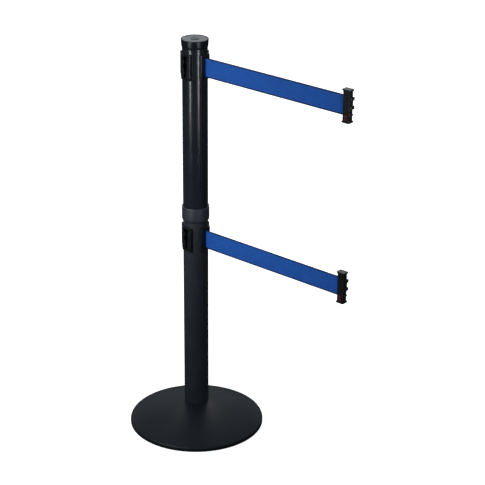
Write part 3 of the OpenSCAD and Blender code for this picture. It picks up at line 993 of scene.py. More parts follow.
@dataclass
class Post:
    """The two tubes with their windows, the collar between them and the cap.

    Attributes:
        wall: Wall thickness of the tubes.
        window_half: Half the width of a window.
        window_height: Height of a window.
        tube_edge: Width of the bevel along the tubes' edges.
        collar_foot: Width of the collar's lower end.
        collar_chamfer: Height of the slope at the collar's foot.
        bead: Heights below the collar's top where its groove starts, is deepest and ends.
        bead_depth: Depth of that groove.
        cap_foot: Width of the cap's lower end.
        cap_chamfer: Height of the slope at the cap's foot.
        cap_band: Radius of the cap above that slope, from which it flares to its top.
        cap_rim: Width of the rim round the disc.
        cap_recess: Depth of the recess that the disc lies in.
        seat: Width of the ledge that the disc's hole leaves round the plug.
        gap: Play between the cap and the tube; round the plug it is twice that.
        disc_edge: Radius of the disc's edges.
        plug_edge: Width of the bevel along the plug's edges.
        slot_half: Half the width of the plug's slot.
        slot_depth: Depth of that slot.
        slot_share: Half its length, as a share of the plug's radius.
        stem_share: Half the stem's width, as a share of the plug's radius.
    """

    wall: float = 1.6 * MM
    window_half: float = 13.5 * MM
    window_height: float = 60 * MM
    tube_edge: float = 0.3 * MM
    collar_foot: float = 0.9 * MM
    collar_chamfer: float = 5 * MM
    bead: tuple[float, float, float] = (1.6 * MM, 2.0 * MM, 2.4 * MM)
    bead_depth: float = 0.5 * MM
    cap_foot: float = 0.3 * MM
    cap_chamfer: float = 5.2 * MM
    cap_band: float = 33.2 * MM
    cap_rim: float = 2.6 * MM
    cap_recess: float = 2.0 * MM
    seat: float = 2.9 * MM
    gap: float = 0.05 * MM
    disc_edge: float = 0.3 * MM
    plug_edge: float = 0.25 * MM
    slot_half: float = 1.0 * MM
    slot_depth: float = 1.2 * MM
    slot_share: float = 0.72
    stem_share: float = 0.7

    def tube(self, node: str, windows_at: float, finish: Finish) -> None:
        """Makes a tube as cells between two radii, with its four windows cut.

        A cell's place is its radius, its angle and its height. The angle's planes crowd
        where the windows' sides are, and the seam runs up between two windows.

        Args:
            node: The CAD node.
            windows_at: Height of the windows' middle.
            finish: The tube's finish.
        """
        low, high = bounds_of(node)
        outer, inner = high[0], high[0] - self.wall
        edge = math.asin(self.window_half / inner)
        sides = np.linspace(edge, QUARTER / 2, 7)
        one = np.concatenate([-sides[::-1], np.linspace(-edge, edge, 19), sides])
        turns = np.arange(4) * QUARTER
        around = np.unique(np.round((one + turns[:, None]).ravel(), 7))
        wall: Box = ((inner, outer), (around[0], around[-1]), (low[2], high[2]))
        half = self.window_height / 2
        tall = (windows_at - half, windows_at + half)
        windows: list[Box] = [((inner, outer), (k - edge, k + edge), tall) for k in turns]
        lattice = Lattice([wall, *windows], (NO_PLANES, around, NO_PLANES))
        surface = lattice.fill(wall).cut(*windows).surface(wrap_y=True)
        radius, angle, height = surface.points.T
        round_post = [radius * np.cos(angle), radius * np.sin(angle), height]
        surface.points = np.stack(round_post, axis=-1)
        make_piece(f"{node}_coated", surface, POST, finish, node, bevel=self.tube_edge)

    def collar(self) -> None:
        """Makes the collar: a flat band with a soft bead above it and a sloped foot.

        Its section is listed as corners with a radius each, and the last four of them reach
        between the two tubes' ends.
        """
        low, high = bounds_of("mid_collar")
        outer, foot, top = high[0], low[2], high[2]
        tube = bounds_of("lower_tube")[1][0]
        inner = tube - self.wall
        gap_foot, gap_top = bounds_of("lower_tube")[1][2], bounds_of("upper_tube")[0][2]
        corners = np.array([
            (tube, foot),
            (tube + self.collar_foot, foot),
            (outer, foot + self.collar_chamfer),
            (outer, top - self.bead[2]),
            (outer - self.bead_depth, top - self.bead[1]),
            (outer, top - self.bead[0]),
            (outer, top),
            (tube, top),
            (tube, gap_top),
            (inner, gap_top),
            (inner, gap_foot),
            (tube, gap_foot),
        ])
        radii = np.array([0.1, 0.4, 1.2, 0.15, 0.15, 0.15, 0.7, 0.1, 0, 0, 0, 0]) * MM
        ring = lathe(fillet(corners, radii))
        make_piece("joint_collar", ring, POST, COLLAR, "mid_collar")

    def cap(self) -> None:
        """Makes the cap with its raised rim, the disc let into it and the slotted plug.

        The cap's section is listed as corners with a radius each.
        """
        low, high = bounds_of("top_cap")
        outer, foot, top = high[0], low[2], high[2]
        tube, _, tube_top = bounds_of("upper_tube")[1]
        tube, tube_top = tube + self.gap, tube_top + self.gap
        floor = top - self.cap_recess
        plug_low, plug_high = bounds_of("coin_plug")
        bore = -plug_low[0] - self.seat
        corners = np.array([
            (tube, foot),
            (tube + self.cap_foot, foot),
            (self.cap_band, foot + self.cap_chamfer),
            (outer, top),
            (outer - self.cap_rim, top),
            (outer - self.cap_rim, floor),
            (bore, floor),
            (bore, tube_top),
            (tube, tube_top),
        ])
        radii = np.array([0.1, 0.1, 1.0, 1.25, 1.2, 0.25, 0.3, 0.2, 0.1]) * MM
        make_piece("flared_cap", lathe(fillet(corners, radii)), POST, CAP, "top_cap")
        disc_low, disc_high = bounds_of("cap_disc")
        hole = plug_high[0] + 2 * self.gap
        disc = band(disc_low[2], disc_high[2], hole, disc_high[0], self.disc_edge)
        make_piece("inlaid_disc", disc, POST, CAP_DISC, "cap_disc")
        self.plug(plug_low[2], disc_low[2], plug_high)

    def plug(self, stem_foot: float, foot: float, high: np.ndarray) -> None:
        """Makes the blanking plug: a disc with a slot for a coin, on a short stem.

        Args:
            stem_foot: Height of the stem's lower end.
            foot: Height of the disc's underside.
            high: The highest corner of the CAD node.
        """
        radius, top = high[0], high[2]
        wide, narrow = (-radius, radius), (-self.stem_share * radius, self.stem_share * radius)
        reach = self.slot_share * radius
        disc: Box = (wide, wide, (foot, top))
        stem: Box = (narrow, narrow, (stem_foot, foot))
        sides = (-self.slot_half, self.slot_half)
        slot: Box = ((-reach, reach), sides, (top - self.slot_depth, top))
        half = np.linspace(2 * MM, radius, 8)
        across = np.concatenate([-half[::-1], half])
        lattice = Lattice([disc, stem, slot], (across, across, NO_PLANES))
        surface = lattice.fill(disc, stem).cut(slot).surface()
        surface.points = rounded_uprights(surface.points, radius, radius, radius)
        make_piece("slotted_plug", surface, POST, PLUG, "coin_plug", bevel=self.plug_edge)

    def build(self) -> None:
        """Makes the tubes, the collar and the cap."""
        for level, finish in (("lower", TUBE_LOWER_PAINTED_LIGHT), ("upper", TUBE_UPPER)):
            low, high = bounds_of(f"{level}_belt_exit")
            self.tube(f"{level}_tube", (low[2] + high[2]) / 2, finish)
        self.collar()
        self.cap()
        dress("tube_joiner", DARK_STEEL)


class Side(Enum):
    """The sides of the post that carry a receiver, with their turn from +X in degrees."""

    FRONT = -90
    SIDE = 180
    BACK = 90


@dataclass
class Frames:
    """The moulded frames on the post: one that the belt leaves by and three receivers.

    Distances are from the post's axis, and heights are from the belt's centre line.

    Attributes:
        half_width: Half the width of a frame.
        half_body: Half the width of the part that stands in the tube's window.
        body_height: Half the height of that part.
        saddle: How far the flange's back is laid into the tube before it is bent round it.
        chin: Height of the slope at the foot of a frame.
        chin_foot: How far that slope's foot stands off the tube.
        edge: Width of the bevel along the edges.
        rolled: Radius that the long edges of the face are rounded with.
        exit_half: Half the width of the slot that the belt leaves by.
        exit_height: Half the height of that slot.
        lip: Thickness of the lips beside a receiver's slot.
        slot: Half the width of a receiver's slot.
        pocket: Half the width of the pocket behind the lips.
        back: Distance to the pocket's back wall.
        wall: Thickness of that wall.
        tall: Lower and upper end of slot and pocket.
        entries: Heights at which the tongue's lugs go in.
        entry_half: Half the height of each of those openings.
        notch_half: Half the width of the notch that the red tab's nose rests in.
        notch_depth: Depth of that notch.
        notch_tall: Lower and upper end of that notch.
    """

    half_width: float = 15.5 * MM
    half_body: float = 13.3 * MM
    body_height: float = 29.8 * MM
    saddle: float = 1 * MM
    chin: float = 7.7 * MM
    chin_foot: float = 0.4 * MM
    edge: float = 0.3 * MM
    rolled: float = 1.8 * MM
    exit_half: float = 1.5 * MM
    exit_height: float = 26.2 * MM
    lip: float = 2.2 * MM
    slot: float = 3.8 * MM
    pocket: float = 7.7 * MM
    back: float = 24.3 * MM
    wall: float = 2 * MM
    tall: Span = (-24.3 * MM, 28.6 * MM)
    entries: Span = (3 * MM, 23.7 * MM)
    entry_half: float = 4.9 * MM
    notch_half: float = 5.2 * MM
    notch_depth: float = 4.5 * MM
    notch_tall: Span = (-27.4 * MM, -22.6 * MM)

    def shell(self, node: str, inner: float, openings: list[Box]) -> Surface:
        """Makes a frame's solid from boxes, saddled onto the tube and with a sloped chin.

        The flange's back follows the tube: a point there moves out to sqrt(r^2 - y^2). The
        face slopes back to the tube below the chin's top. Along its two long edges the face
        falls away over a quarter circle, by the radius less sqrt(radius^2 - d^2), where d is
        how far a point lies past the quarter circle's start.

        Args:
            node: The CAD node, which gives the frame's height and reach.
            inner: Distance from the axis to the inner end.
            openings: What is cut away.

        Returns:
            The frame, facing +X and centred on height zero.
        """
        low, high = bounds_of(node)
        top = (high[2] - low[2]) / 2
        face = max(abs(high[0]), abs(low[0]), abs(high[1]), abs(low[1]))
        tube = bounds_of("lower_tube")[1][0]
        saddle, chin_foot = tube - self.saddle, tube + self.chin_foot
        body_side = (-self.half_body, self.half_body)
        flange: Box = ((saddle, face), (-self.half_width, self.half_width), (-top, top))
        body: Box = ((inner, face), body_side, (-self.body_height, self.body_height))
        roll_start = self.half_width - self.rolled
        past = self.rolled * np.sin(np.linspace(0, QUARTER, 6)[:-1])
        across = np.concatenate([-roll_start - past, roll_start + past])
        chin_top = np.array([-top + self.chin])
        lattice = Lattice([flange, body, *openings], (NO_PLANES, across, chin_top))
        surface = lattice.fill(flange, body).cut(*openings).surface()
        x, y, z = surface.points.T
        rise = np.clip((z + top) / self.chin, 0, 1)
        slope = chin_foot + (face - chin_foot) * rise
        fall = np.clip(np.abs(y) - roll_start, 0, self.rolled)
        rounded = np.minimum(x, slope) - self.rolled + np.sqrt(self.rolled**2 - fall**2)
        moved = np.where(np.isclose(x, face), rounded, x)
        moved = np.where(np.isclose(x, saddle), np.sqrt(tube**2 - y**2), moved)
        surface.points = np.stack([moved, y, z], axis=-1)
        return surface

    def build(self, level: str) -> None:
        """Makes the belt exit and the three receivers of one level.

        Args:
            level: "upper" or "lower".
        """
        node = f"{level}_belt_exit"
        low, high = bounds_of(node)
        middle, face = (low[2] + high[2]) / 2, high[0]
        slit_side = (-self.exit_half, self.exit_half)
        slit: Box = ((0.0, face), slit_side, (-self.exit_height, self.exit_height))
        placed = self.shell(node, low[0], [slit]).moved(z=middle)
        make_piece(f"{level}_exit_frame", placed, POST, FRAME_BLACK, node, bevel=self.edge)
        pocket_side, notch_side = (-self.pocket, self.pocket), (-self.notch_half, self.notch_half)
        openings: list[Box] = [
            ((self.back, face - self.lip), pocket_side, self.tall),
            ((self.back, face), (-self.slot, self.slot), self.tall),
            ((face - self.notch_depth, face), notch_side, self.notch_tall),
        ]
        for at in self.entries:
            tall = (at - self.entry_half, at + self.entry_half)
            openings.append(((self.back, face), pocket_side, tall))
        receiver = self.shell(f"{level}_receiver_front", self.back - self.wall, openings)
        for side in Side:
            node = f"{level}_receiver_{side.name.lower()}"
            placed = receiver.turned(side.value).moved(z=middle)
            make_piece(f"{node}_frame", placed, POST, FRAME_BLACK, node, bevel=self.edge)


@dataclass
class Cassette:
    """What winds the belt in: spool, roll of belt, mainspring, brake and guide posts.

    Attributes:
        cloth: Thickness of one turn of belt.
        width: Width of the belt.
        drum: Radius of the drum that the belt is wound on, and of the brake ring's hole.
        filled: Share of each turn's thickness that the cloth takes up.
        ring_edge: Radius of the brake ring's edges.
    """

    cloth: float = 0.5 * MM
    width: float = 50 * MM
    drum: float = 8.0 * MM
    filled: float = 0.8
    ring_edge: float = 0.4 * MM

    def roll(self, level: str) -> None:
        """Makes the roll, whose radius grows evenly by one cloth thickness in each turn.

        Args:
            level: "upper" or "lower".
        """
        node, body = f"{level}_belt_roll", f"{level}_spool_set"
        low, high = bounds_of(node)
        inner, outer = self.drum + self.cloth / 2, high[0] - self.cloth / 2
        turns = (outer - inner) / self.cloth
        angle = np.linspace(0, 2 * math.pi * turns, int(turns * 40))
        radius = inner + (outer - inner) * angle / angle[-1]
        line = np.stack([radius * np.cos(angle), radius * np.sin(angle)], axis=-1)
        thick = self.filled * self.cloth
        surface = ribbon(line, self.width, thick, thick, across=1)
        placed = surface.moved(z=(low[2] + high[2]) / 2)
        piece = make_piece(f"{level}_wound_belt", placed, body, BELT_BLUE, node)

    def brake(self, level: str) -> None:
        """Makes the felt ring that slows the spool.

        Args:
            level: "upper" or "lower".
        """
        node = f"{level}_brake_washer"
        low, high = bounds_of(node)
        ring = band(low[2], high[2], self.drum, high[0], self.ring_edge)
        make_piece(f"{level}_felt_ring", ring, POST, FELT, node)

    def build(self, level: str) -> None:
        """Makes the roll and the brake, and dresses the rest.

        Args:
            level: "upper" or "lower".
        """
        self.roll(level)
        self.brake(level)
        finishes = {
            "cassette_frame": INNER_BLACK,
            "cassette_lid": INNER_BLACK,
            "lid_screws": BRIGHT_STEEL,
            "guide_posts": BRIGHT_STEEL,
            "axle": BRIGHT_STEEL,
            "spool": SPOOL_GREY,
            "spool_bushes": BRASS,
            "mainspring": SPRING_STEEL,
            "spring_cup": SPRING_STEEL,
        }
        for node, finish in finishes.items():
            dress(f"{level}_{node}", finish)


@dataclass
class Belt:
    """The belt that is drawn out, from the roll past the guide posts to its pin.

    Attributes:
        width: Width of the webbing.
        thick: Thickness of the webbing.
        selvedge: Thickness of its two edges.
        cup: How far its middle stands out of the flat, at most.
        off_roll: Distance from the roll's outside to the belt's middle where it leaves.
        on_pin: Play between the pin and the loop.
        before_pin: How far short of the loop the straight run ends.
        loop: Where the loop starts and ends round the pin, in half turns.
        crease: Angle in degrees past which an edge of the belt is shaded as sharp.
    """

    width: float = 50 * MM
    thick: float = 0.5 * MM
    selvedge: float = 0.62 * MM
    cup: float = 0.25 * MM
    off_roll: float = 0.55 * MM
    on_pin: float = 0.1 * MM
    before_pin: float = 2 * MM
    loop: Span = (1.02, 2.96)
    crease: float = 60.0

    def line(self, level: str) -> np.ndarray:
        """Works out the belt's centreline in plan.

        It leaves the roll on the tangent that crosses to the far side of the guide post,
        turns round the post, and runs straight to the loop round the pin. The tangent's
        heading is the guide post's bearing less the arcsine of the sum of the two radii
        over the distance between the two centres.

        Args:
            level: "upper" or "lower".

        Returns:
            The points, with shape (n, 2).
        """
        low, high = bounds_of(f"{level}_guide_posts")
        guide = np.array([(low[0] + high[0]) / 2, high[1] - (high[0] - low[0]) / 2])
        leave, turn = bounds_of(f"{level}_belt_roll")[1][0] + self.off_roll, guide[1]
        bearing = math.atan2(guide[1], guide[0])
        heading = bearing - math.asin((leave + turn) / math.hypot(*guide))
        normal = np.array([-math.sin(heading), math.cos(heading)])
        lead = np.linspace(leave * normal, guide - turn * normal, 8)
        angle = np.linspace(heading, 0, 9)[1:] - QUARTER
        bend = guide + turn * np.stack([np.cos(angle), np.sin(angle)], axis=-1)
        low, high = bounds_of(f"{level}_belt_pin")
        pin = np.array([(low[0] + high[0]) / 2, 0.0])
        radius = (high[0] - low[0]) / 2 + self.on_pin + self.thick / 2
        along = np.linspace(guide[0], pin[0] - radius - self.before_pin, 120)[1:]
        run = np.stack([along, 0 * along], axis=-1)
        angle = np.linspace(*self.loop, 40) * math.pi
        loop = pin + radius * np.stack([np.cos(angle), np.sin(angle)], axis=-1)
        return np.vstack([lead, bend, run, loop])

    def build(self, level: str) -> None:
        """Makes the belt, which rides on no body, and bakes its placement into its mesh.

        Its middle stands out of the flat by the sine of the way along, times the cosine of
        the way across.

        Args:
            level: "upper" or "lower".
        """
        node, end = f"{level}_belt", f"{level}_belt_end"
        low, high = bounds_of(node)
        middle = (low[2] + high[2]) / 2
        line = self.line(level)
        flat = ribbon(line, self.width, self.thick, self.selvedge, across=16)
        surface = flat.moved(z=middle)
        post_face = bounds_of(f"{level}_belt_exit")[1][0]
        end_face = bounds_of(f"{level}_end_body")[0][0]
        x, _, z = surface.points.T
        out = np.clip((x - post_face) / (end_face - post_face), 0, 1)
        across = (z - middle) / self.width
        surface.points[:, 1] -= self.cup * np.sin(out * math.pi) * np.cos(across * math.pi)
        name, crease = f"{level}_drawn_belt", self.crease
        piece = make_piece(name, surface, None, BELT_BLUE, node, crease=crease)
        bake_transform(piece)


@dataclass
class BeltEnd:
    """The moulded belt end with its tongue, its red release tab and the tab's spring.

    Places are from the belt end's middle, with x along the belt and z up.

    Attributes:
        length: Half the length of the body.
        thick: Half the thickness of the body.
        pin_behind: How far the belt's pin lies behind the middle.
        flange: Thickness of the flanges at its top and foot.
        flange_round: Radius of the flanges' corners.
        flange_edge: Radius of the rims of the lower and of the upper flange.
        foot_half: Half the length of the flange at the foot.
        corner: Radius of the body's upright edges.
        edge: Width of the bevel along the body's other edges.
        well_x: Ends of the well that holds pin and loop.
        well_y: Sides of that well.
        well_foot: Height of its floor.
        way_in: Half the width of the slot that the belt enters by.
        groove: Half the width of the groove down each broad side, and its depth.
        groove_x: Middle of that groove.
        groove_z: Its foot, and how far it ends below the top.
        bar_x: Ends of the opening that the tab's bar crosses in.
        bar_z: Its foot above the lower flange, and its top.
        riser_x: Ends of the opening for the tab's riser.
        riser_z: Top of that opening.
        nose_z: Foot of the opening that the tab's nose comes out of.
        tab_side: Half the width of those two openings.
        neck: Half the thickness of the tongue's neck.
        root: How far the neck reaches into the body, and the spigot into its flange.
        reach: How far it stands out of the body.
        neck_z: Lower and upper end of the neck.
        lugs: Heights of the tongue's two lugs.
        lug_half: Half the height of a lug.
        lug_round: Radius of a lug's corners, and of its rims.
        lug_outline: A lug's outline in millimetres, from the neck's end.
        spigot: Radius of the spigot that keeps the pin in.
        spigot_edge: Radius of its rim.
        tab_parts: Bar, link, riser and nose of the tab.
        pad_x: Half the length of a finger pad.
        pad_y: Inner face, outer face and ribs' crest of a finger pad.
        pad_z: Lower and upper end of a finger pad.
        rib_x: Half the length of a finger pad's ribs.
        rib_z: Height of a rib.
        ribs: Foot of the first rib, end of the row and spacing, in millimetres.
        tab_edge: Width of the bevel along the tab's edges.
        wire: Radius of the spring's wire.
        turns: Turns of the spring.
        kept: Share of the spring's length that is left when the tab is pressed; not used.
    """

    length: float = 10 * MM
    thick: float = 6.7 * MM
    pin_behind: float = 1 * MM
    flange: float = 4 * MM
    flange_round: float = 2.5 * MM
    flange_edge: Span = (0.6 * MM, 0.7 * MM)
    foot_half: float = 11 * MM
    corner: float = 2 * MM
    edge: float = 0.25 * MM
    well_x: Span = (-4.2 * MM, 2.2 * MM)
    well_y: Span = (-3.1 * MM, 3.1 * MM)
    well_foot: float = -25.7 * MM
    way_in: float = 0.8 * MM
    groove: Span = (1.2 * MM, 0.6 * MM)
    groove_x: float = 4.2 * MM
    groove_z: Span = (-18.5 * MM, 4 * MM)
    bar_x: Span = (-7.8 * MM, 4.8 * MM)
    bar_z: Span = (1.1 * MM, -28.0 * MM)
    riser_x: Span = (1.7 * MM, 8.8 * MM)
    riser_z: float = -17.7 * MM
    nose_z: float = -22.3 * MM
    tab_side: float = 5.1 * MM
    neck: float = 3.5 * MM
    root: float = 0.5 * MM
    reach: float = 2.6 * MM
    neck_z: Span = (-6.2 * MM, 22.9 * MM)
    lugs: Span = (-2.0 * MM, 18.7 * MM)
    lug_half: float = 4.2 * MM
    lug_outline: tuple[Span, ...] = (
        (0.0, -7.2), (0.9, -7.2), (2.5, -5.4), (2.5, 5.4), (0.9, 7.2), (0.0, 7.2)
    )
    lug_round: Span = (0.3 * MM, 0.8 * MM)
    spigot: float = 3 * MM
    spigot_edge: float = 0.3 * MM
    tab_parts: tuple[Box, ...] = (
        ((-4.5 * MM, 4.5 * MM), (-7.0 * MM, 7.0 * MM), (-34.6 * MM, -28.3 * MM)),
        ((4.5 * MM, 8.5 * MM), (-4.8 * MM, 4.8 * MM), (-34.6 * MM, -28.3 * MM)),
        ((5.0 * MM, 8.5 * MM), (-4.8 * MM, 4.8 * MM), (-34.6 * MM, -18.0 * MM)),
        ((8.5 * MM, 12.4 * MM), (-4.8 * MM, 4.8 * MM), (-22.0 * MM, -18.0 * MM)),
    )
    pad_x: float = 4.5 * MM
    pad_y: tuple[float, float, float] = (7.0 * MM, 7.7 * MM, 8.0 * MM)
    pad_z: Span = (-35.4 * MM, -21.4 * MM)
    rib_x: float = 4.0 * MM
    rib_z: float = 1 * MM
    ribs: tuple[float, float, float] = (-34.2, -22.5, 2.2)
    tab_edge: float = 0.15 * MM
    wire: float = 0.25 * MM
    turns: float = 4.0
    kept: float = 0.08

    def tongue(self) -> Surface:
        """Makes the tongue: a neck with two lugs, which are chamfered towards their tips.

        Returns:
            The tongue's three closed solids, pointing along +X.
        """
        root, head = self.length - self.root, self.length + self.reach
        neck = [(root, -self.neck), (head, -self.neck), (head, self.neck), (root, self.neck)]
        tongue = prism(np.array(neck), *self.neck_z, SHARP)
        lug = fillet(np.array(self.lug_outline) * MM + (head, 0), self.lug_round[0], 3)
        for at in self.lugs:
            foot, top = at - self.lug_half, at + self.lug_half
            tongue = tongue.joined(prism(lug, foot, top, self.lug_round[1]))
        return tongue

    def body(self, level: str, centre: np.ndarray, tall: float) -> None:
        """Makes the body: a slim block with rounded uprights, hollowed for belt and tab.

        Args:
            level: "upper" or "lower".
            centre: The belt end's middle.
            tall: Half its height.
        """
        node, length, thick = f"{level}_end_body", self.length, self.thick
        foot, top = -tall + self.flange, tall - self.flange
        bar_foot, side = foot + self.bar_z[0], (-self.tab_side, self.tab_side)
        block: Box = ((-length, length), (-thick, thick), (foot - SHARP, top))
        entry = (-self.way_in, self.way_in)
        openings: list[Box] = [
            (self.well_x, self.well_y, (self.well_foot, top)),
            ((-length, self.well_x[0]), entry, (self.well_foot, top)),
            (self.bar_x, (-thick, thick), (bar_foot, self.bar_z[1])),
            (self.riser_x, side, (bar_foot, self.riser_z)),
            ((self.bar_x[1], length), side, (self.nose_z, self.riser_z)),
        ]
        half, depth = self.groove
        groove_x = (self.groove_x - half, self.groove_x + half)
        groove_z = (self.groove_z[0], top - self.groove_z[1])
        for groove_y in ((thick - depth, thick), (-thick, depth - thick)):
            openings.append((groove_x, groove_y, groove_z))
        steps = np.linspace(0, self.corner, 5)
        across_x = np.concatenate([-length + steps, length - steps])
        across_y = np.concatenate([-thick + steps, thick - steps])
        lattice = Lattice([block, *openings], (across_x, across_y, NO_PLANES))
        shell = lattice.fill(block).cut(*openings).surface()
        shell.points = rounded_uprights(shell.points, length, thick, self.corner)
        low, high = bounds_of(node)
        rim = rectangle(self.foot_half, (high[1] - low[1]) / 2, self.flange_round)
        flange = prism(rim, -tall, foot, self.flange_edge[0])
        placed = shell.joined(self.tongue(), flange).moved(*centre)
        body = f"{level}_belt_end"
        make_piece(f"{level}_clip_body", placed, body, END_BLACK, node, bevel=self.edge)

    def cap(self, level: str, centre: np.ndarray) -> None:
        """Makes the top flange with the spigot that keeps the pin in.

        Args:
            level: "upper" or "lower".
            centre: The belt end's middle.
        """
        node = f"{level}_end_cap"
        low, high = bounds_of(node)
        half_x, half_y, _ = (high - low) / 2
        bottom, top = low[2] - centre[2], high[2] - centre[2]
        foot = top - self.flange
        round_bar = rectangle(self.spigot, self.spigot, self.spigot - SHARP, 8)
        spigot = prism(round_bar, bottom, foot + self.root, self.spigot_edge)
        rim = rectangle(half_x, half_y, self.flange_round)
        plate = prism(rim, foot, top, self.flange_edge[1])
        placed = plate.joined(spigot.moved(x=-self.pin_behind)).moved(*centre)
        make_piece(f"{level}_clip_cap", placed, f"{level}_belt_end", END_BLACK, node)

    def tab(self, level: str, centre: np.ndarray) -> None:
        """Makes the release tab: two ribbed finger pads on a bar, with a riser and a nose.

        Args:
            level: "upper" or "lower".
            centre: The belt end's middle.
        """
        inner, outer, crest = self.pad_y
        pad_x, rib_x = (-self.pad_x, self.pad_x), (-self.rib_x, self.rib_x)
        parts = list(self.tab_parts)
        parts += [(pad_x, side, self.pad_z) for side in ((inner, outer), (-outer, -inner))]
        for foot in np.arange(*self.ribs) * MM:
            tall = (foot, foot + self.rib_z)
            parts += [(rib_x, side, tall) for side in ((outer, crest), (-crest, -outer))]
        placed = Lattice(parts).fill(*parts).surface().moved(*centre)
        node, body = f"{level}_release_tab", f"{level}_release"
        make_piece(f"{level}_red_tab", placed, body, TAB_RED_PAINTED_SHADE, node, bevel=self.tab_edge)

    def spring(self, level: str) -> None:
        """Makes the tab's spring: a helix about a line along x.

        Args:
            level: "upper" or "lower".
        """
        node = f"{level}_tab_spring"
        low, high = bounds_of(node)
        coil = (high[2] - low[2]) / 2 - self.wire
        t = np.linspace(0, 1, 97)
        angle = 2 * math.pi * self.turns * t
        across = np.stack([0 * t, np.cos(angle), np.sin(angle)], axis=-1)
        anchor = np.array([low[0], 0.0, (low[2] + high[2]) / 2])
        along = np.outer(t, [high[0] - low[0] - 2 * self.wire, 0, 0]) + (self.wire, 0, 0)
        helix = wire(anchor + across * coil + along, across, self.wire)
        body = f"{level}_belt_end"
        piece = make_piece(f"{level}_coil_spring", helix, body, SPRING_STEEL, node)
        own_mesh(piece)

    def build(self, level: str) -> None:
        """Makes the belt end of one level.

        Args:
            level: "upper" or "lower".
        """
        low, high = bounds_of(f"{level}_end_body", f"{level}_end_cap")
        pin_low, pin_high = bounds_of(f"{level}_belt_pin")
        along = (pin_low[0] + pin_high[0]) / 2 + self.pin_behind
        centre = np.array([along, 0.0, (low[2] + high[2]) / 2])
        self.body(level, centre, (high[2] - low[2]) / 2)
        self.cap(level, centre)
        self.tab(level, centre)
        self.spring(level)
        dress(f"{level}_belt_pin", BRIGHT_STEEL)


# ---------------------------------------------------------------- studio


@dataclass(frozen=True)
class SoftBox:
    """An upright soft box that faces the post.

    Attributes:
        name: The lamp's name.
        turn: Its turn from the camera's direction to the right, in degrees.
        away: Its distance from the post's axis.
        low: Height of its lower edge.
        high: Height of its upper edge.
        width: Its width.
        watts: Its power.
        aim: Height on the post that it faces.
        spread: Angle of its beam in degrees, narrowed by a honeycomb in front of it.
    """

    name: str
    turn: float
    away: float
    low: float
    high: float
    width: float
    watts: float
    aim: float
    spread: float = 180.0

    def hang(self, out: Vector) -> None:
        """Hangs the soft box.

        Args:
            out: The level direction from the post to it.
        """
        data = bpy.data.lights.new(self.name, "AREA")
        data.shape, data.size, data.size_y = "RECTANGLE", self.width, self.high - self.low
        data.energy, data.spread = self.watts, math.radians(self.spread)
        lamp = bpy.data.objects.new(self.name, data)
        bpy.context.scene.collection.objects.link(lamp)
        lamp.location = out * self.away + Vector((0, 0, (self.low + self.high) / 2))
        facing = Vector((0, 0, self.aim)) - lamp.location
        lamp.rotation_mode = "QUATERNION"
        lamp.rotation_quaternion = facing.to_track_quat("-Z", "Y")
        lamp.visible_camera = False


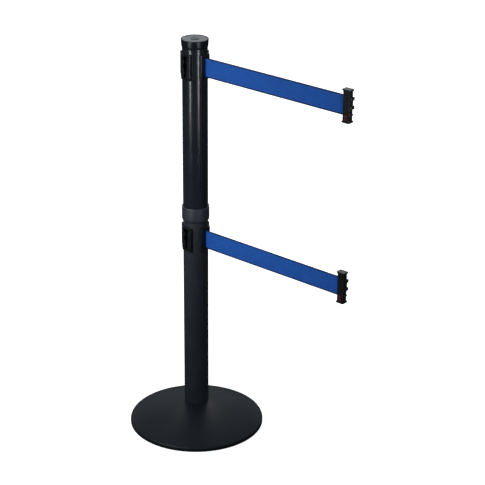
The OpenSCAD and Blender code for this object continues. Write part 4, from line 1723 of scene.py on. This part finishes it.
@dataclass
class Studio:
    """The camera, the pale floor and the soft boxes round the barrier.

    Attributes:
        bearing: Turn of the camera round the post from -Y towards +X, in degrees.
        distance: Distance from the post's axis to the camera, along the floor.
        height: Height of the camera.
        dip: How far the camera looks down, in degrees.
        aside: How far it looks past the post to its right, in degrees.
        roll: Turn of the camera about its own line of sight, in degrees.
        lens: Focal length in millimetres.
        film: Width of the film in millimetres.
        clip: How near and how far the camera sees.
        floor_reach: Radius of the floor.
        floor_thick: Thickness of the floor.
        floor_white: The floor's colour to look at.
        floor_grey: The floor's colour to the light, so that it casts little back.
        floor_glow: How much light it adds to what is seen of it.
        room: Colour of the room that lights the barrier.
        room_light: How bright that room is.
        lamps: Two low strips that draw the light lines on the tubes, a lamp over the lower
            belt, the key, a fill from behind, and a panel that the cap's disc mirrors.
    """

    bearing: float = 42.57
    distance: float = 3.9556
    height: float = 2.2017
    dip: float = 23.127
    aside: float = 1.7217
    roll: float = 0.3838
    lens: float = 125.38
    film: float = 36.0
    clip: Span = (0.1, 60.0)
    floor_reach: float = 12.0
    floor_thick: float = 0.02
    floor_white: str = "#f4f4f2"
    floor_grey: str = "#4a4c4e"
    floor_glow: float = 0.84
    room: str = "#c9d2dd"
    room_light: float = 0.52
    lamps: tuple[SoftBox, ...] = (
        SoftBox("left_strip", -42.5, 1.1, 0.54, 1.00, 0.15, 0.42, aim=1.02, spread=50),
        SoftBox("right_strip", 31.4, 1.1, 0.54, 1.00, 0.15, 0.27, aim=1.02, spread=44),
        SoftBox("low_fill", -46.0, 1.0, 0.95, 1.05, 0.9, 0.48, aim=0.56, spread=36),
        SoftBox("key", -48.0, 3.4, 1.9, 3.3, 1.4, 62, aim=0.75),
        SoftBox("rear_fill", 178.0, 3.4, 2.9, 4.1, 1.4, 34, aim=0.75),
        SoftBox("back_panel", 180.0, 2.0, 1.45, 1.85, 0.7, 0.3, aim=1.0),
    )

    def along(self, turn: float) -> Vector:
        """Works out a level direction from the post.

        Args:
            turn: Its turn from the camera's direction to the right, in degrees.

        Returns:
            The direction, with length one.
        """
        angle = math.radians(self.bearing + turn)
        return Vector((math.sin(angle), -math.cos(angle), 0.0))

    def camera(self) -> None:
        """Places the camera and makes it the scene's."""
        data = bpy.data.cameras.new("camera")
        data.lens, data.sensor_width = self.lens, self.film
        data.clip_start, data.clip_end = self.clip
        camera = bpy.data.objects.new("camera", data)
        bpy.context.scene.collection.objects.link(camera)
        turns = ((self.bearing - self.aside, "Z"), (90 - self.dip, "X"), (self.roll, "Z"))
        place = Matrix.Translation(self.along(0) * self.distance + Vector((0, 0, self.height)))
        for degrees, axis in turns:
            place = place @ Matrix.Rotation(math.radians(degrees), 4, axis)
        camera.matrix_world = place
        bpy.context.scene.camera = camera

    def floor(self) -> None:
        """Lays a round floor that is white to look at and grey to the light."""
        reach, foot = self.floor_reach, -self.floor_thick
        disc = lathe(np.array([(0, 0), (reach, 0), (reach, foot), (0, foot)]), Ends.OPEN, 96)
        floor = bpy.data.objects.new("floor", disc.mesh("floor"))
        bpy.context.scene.collection.objects.link(floor)
        material = bpy.data.materials.new("pale_floor")
        material.use_nodes = True
        tree = material.node_tree
        tree.nodes.clear()
        seen = add(tree, "LightPath").outputs["Is Camera Ray"]
        plain = add(tree, "BsdfDiffuse", {"Color": linear(self.floor_grey)})
        pale = add(tree, "BsdfDiffuse", {"Color": linear(self.floor_white)})
        glow = add(tree, "Emission", {"Color": linear("#ffffff"), "Strength": self.floor_glow})
        lit = add(tree, "AddShader", {0: pale, 1: glow})
        mixed = add(tree, "MixShader", {0: seen, 1: plain, 2: lit})
        add(tree, "OutputMaterial", {"Surface": mixed})
        floor.data.materials.append(material)

    def backdrop(self) -> None:
        """Sets a white backdrop to look at and a dim, even room to be lit by."""
        world = bpy.data.worlds.new("studio")
        bpy.context.scene.world = world
        world.use_nodes = True
        tree = world.node_tree
        tree.nodes.clear()
        seen = add(tree, "LightPath").outputs["Is Camera Ray"]
        dim = {"Color": linear(self.room), "Strength": self.room_light}
        room = add(tree, "Background", dim)
        white = add(tree, "Background", {"Color": linear("#ffffff"), "Strength": 1.0})
        mixed = add(tree, "MixShader", {0: seen, 1: room, 2: white})
        add(tree, "OutputWorld", {"Surface": mixed})

    def build(self) -> None:
        """Sets up the camera, the floor, the backdrop and the soft boxes."""
        bpy.context.scene.view_settings.view_transform = "Standard"
        self.camera()
        self.floor()
        self.backdrop()
        for lamp in self.lamps:
            lamp.hang(self.along(lamp.turn))


def main() -> None:
    """Builds the barrier from the floor up."""
    logging.basicConfig(level=logging.INFO, format="%(message)s")
    Studio().build()
    Base().build()
    Post().build()
    for level in ("lower", "upper"):
        Frames().build(level)
        Cassette().build(level)
        Belt().build(level)
        BeltEnd().build(level)


if __name__ == "__main__":
    main()
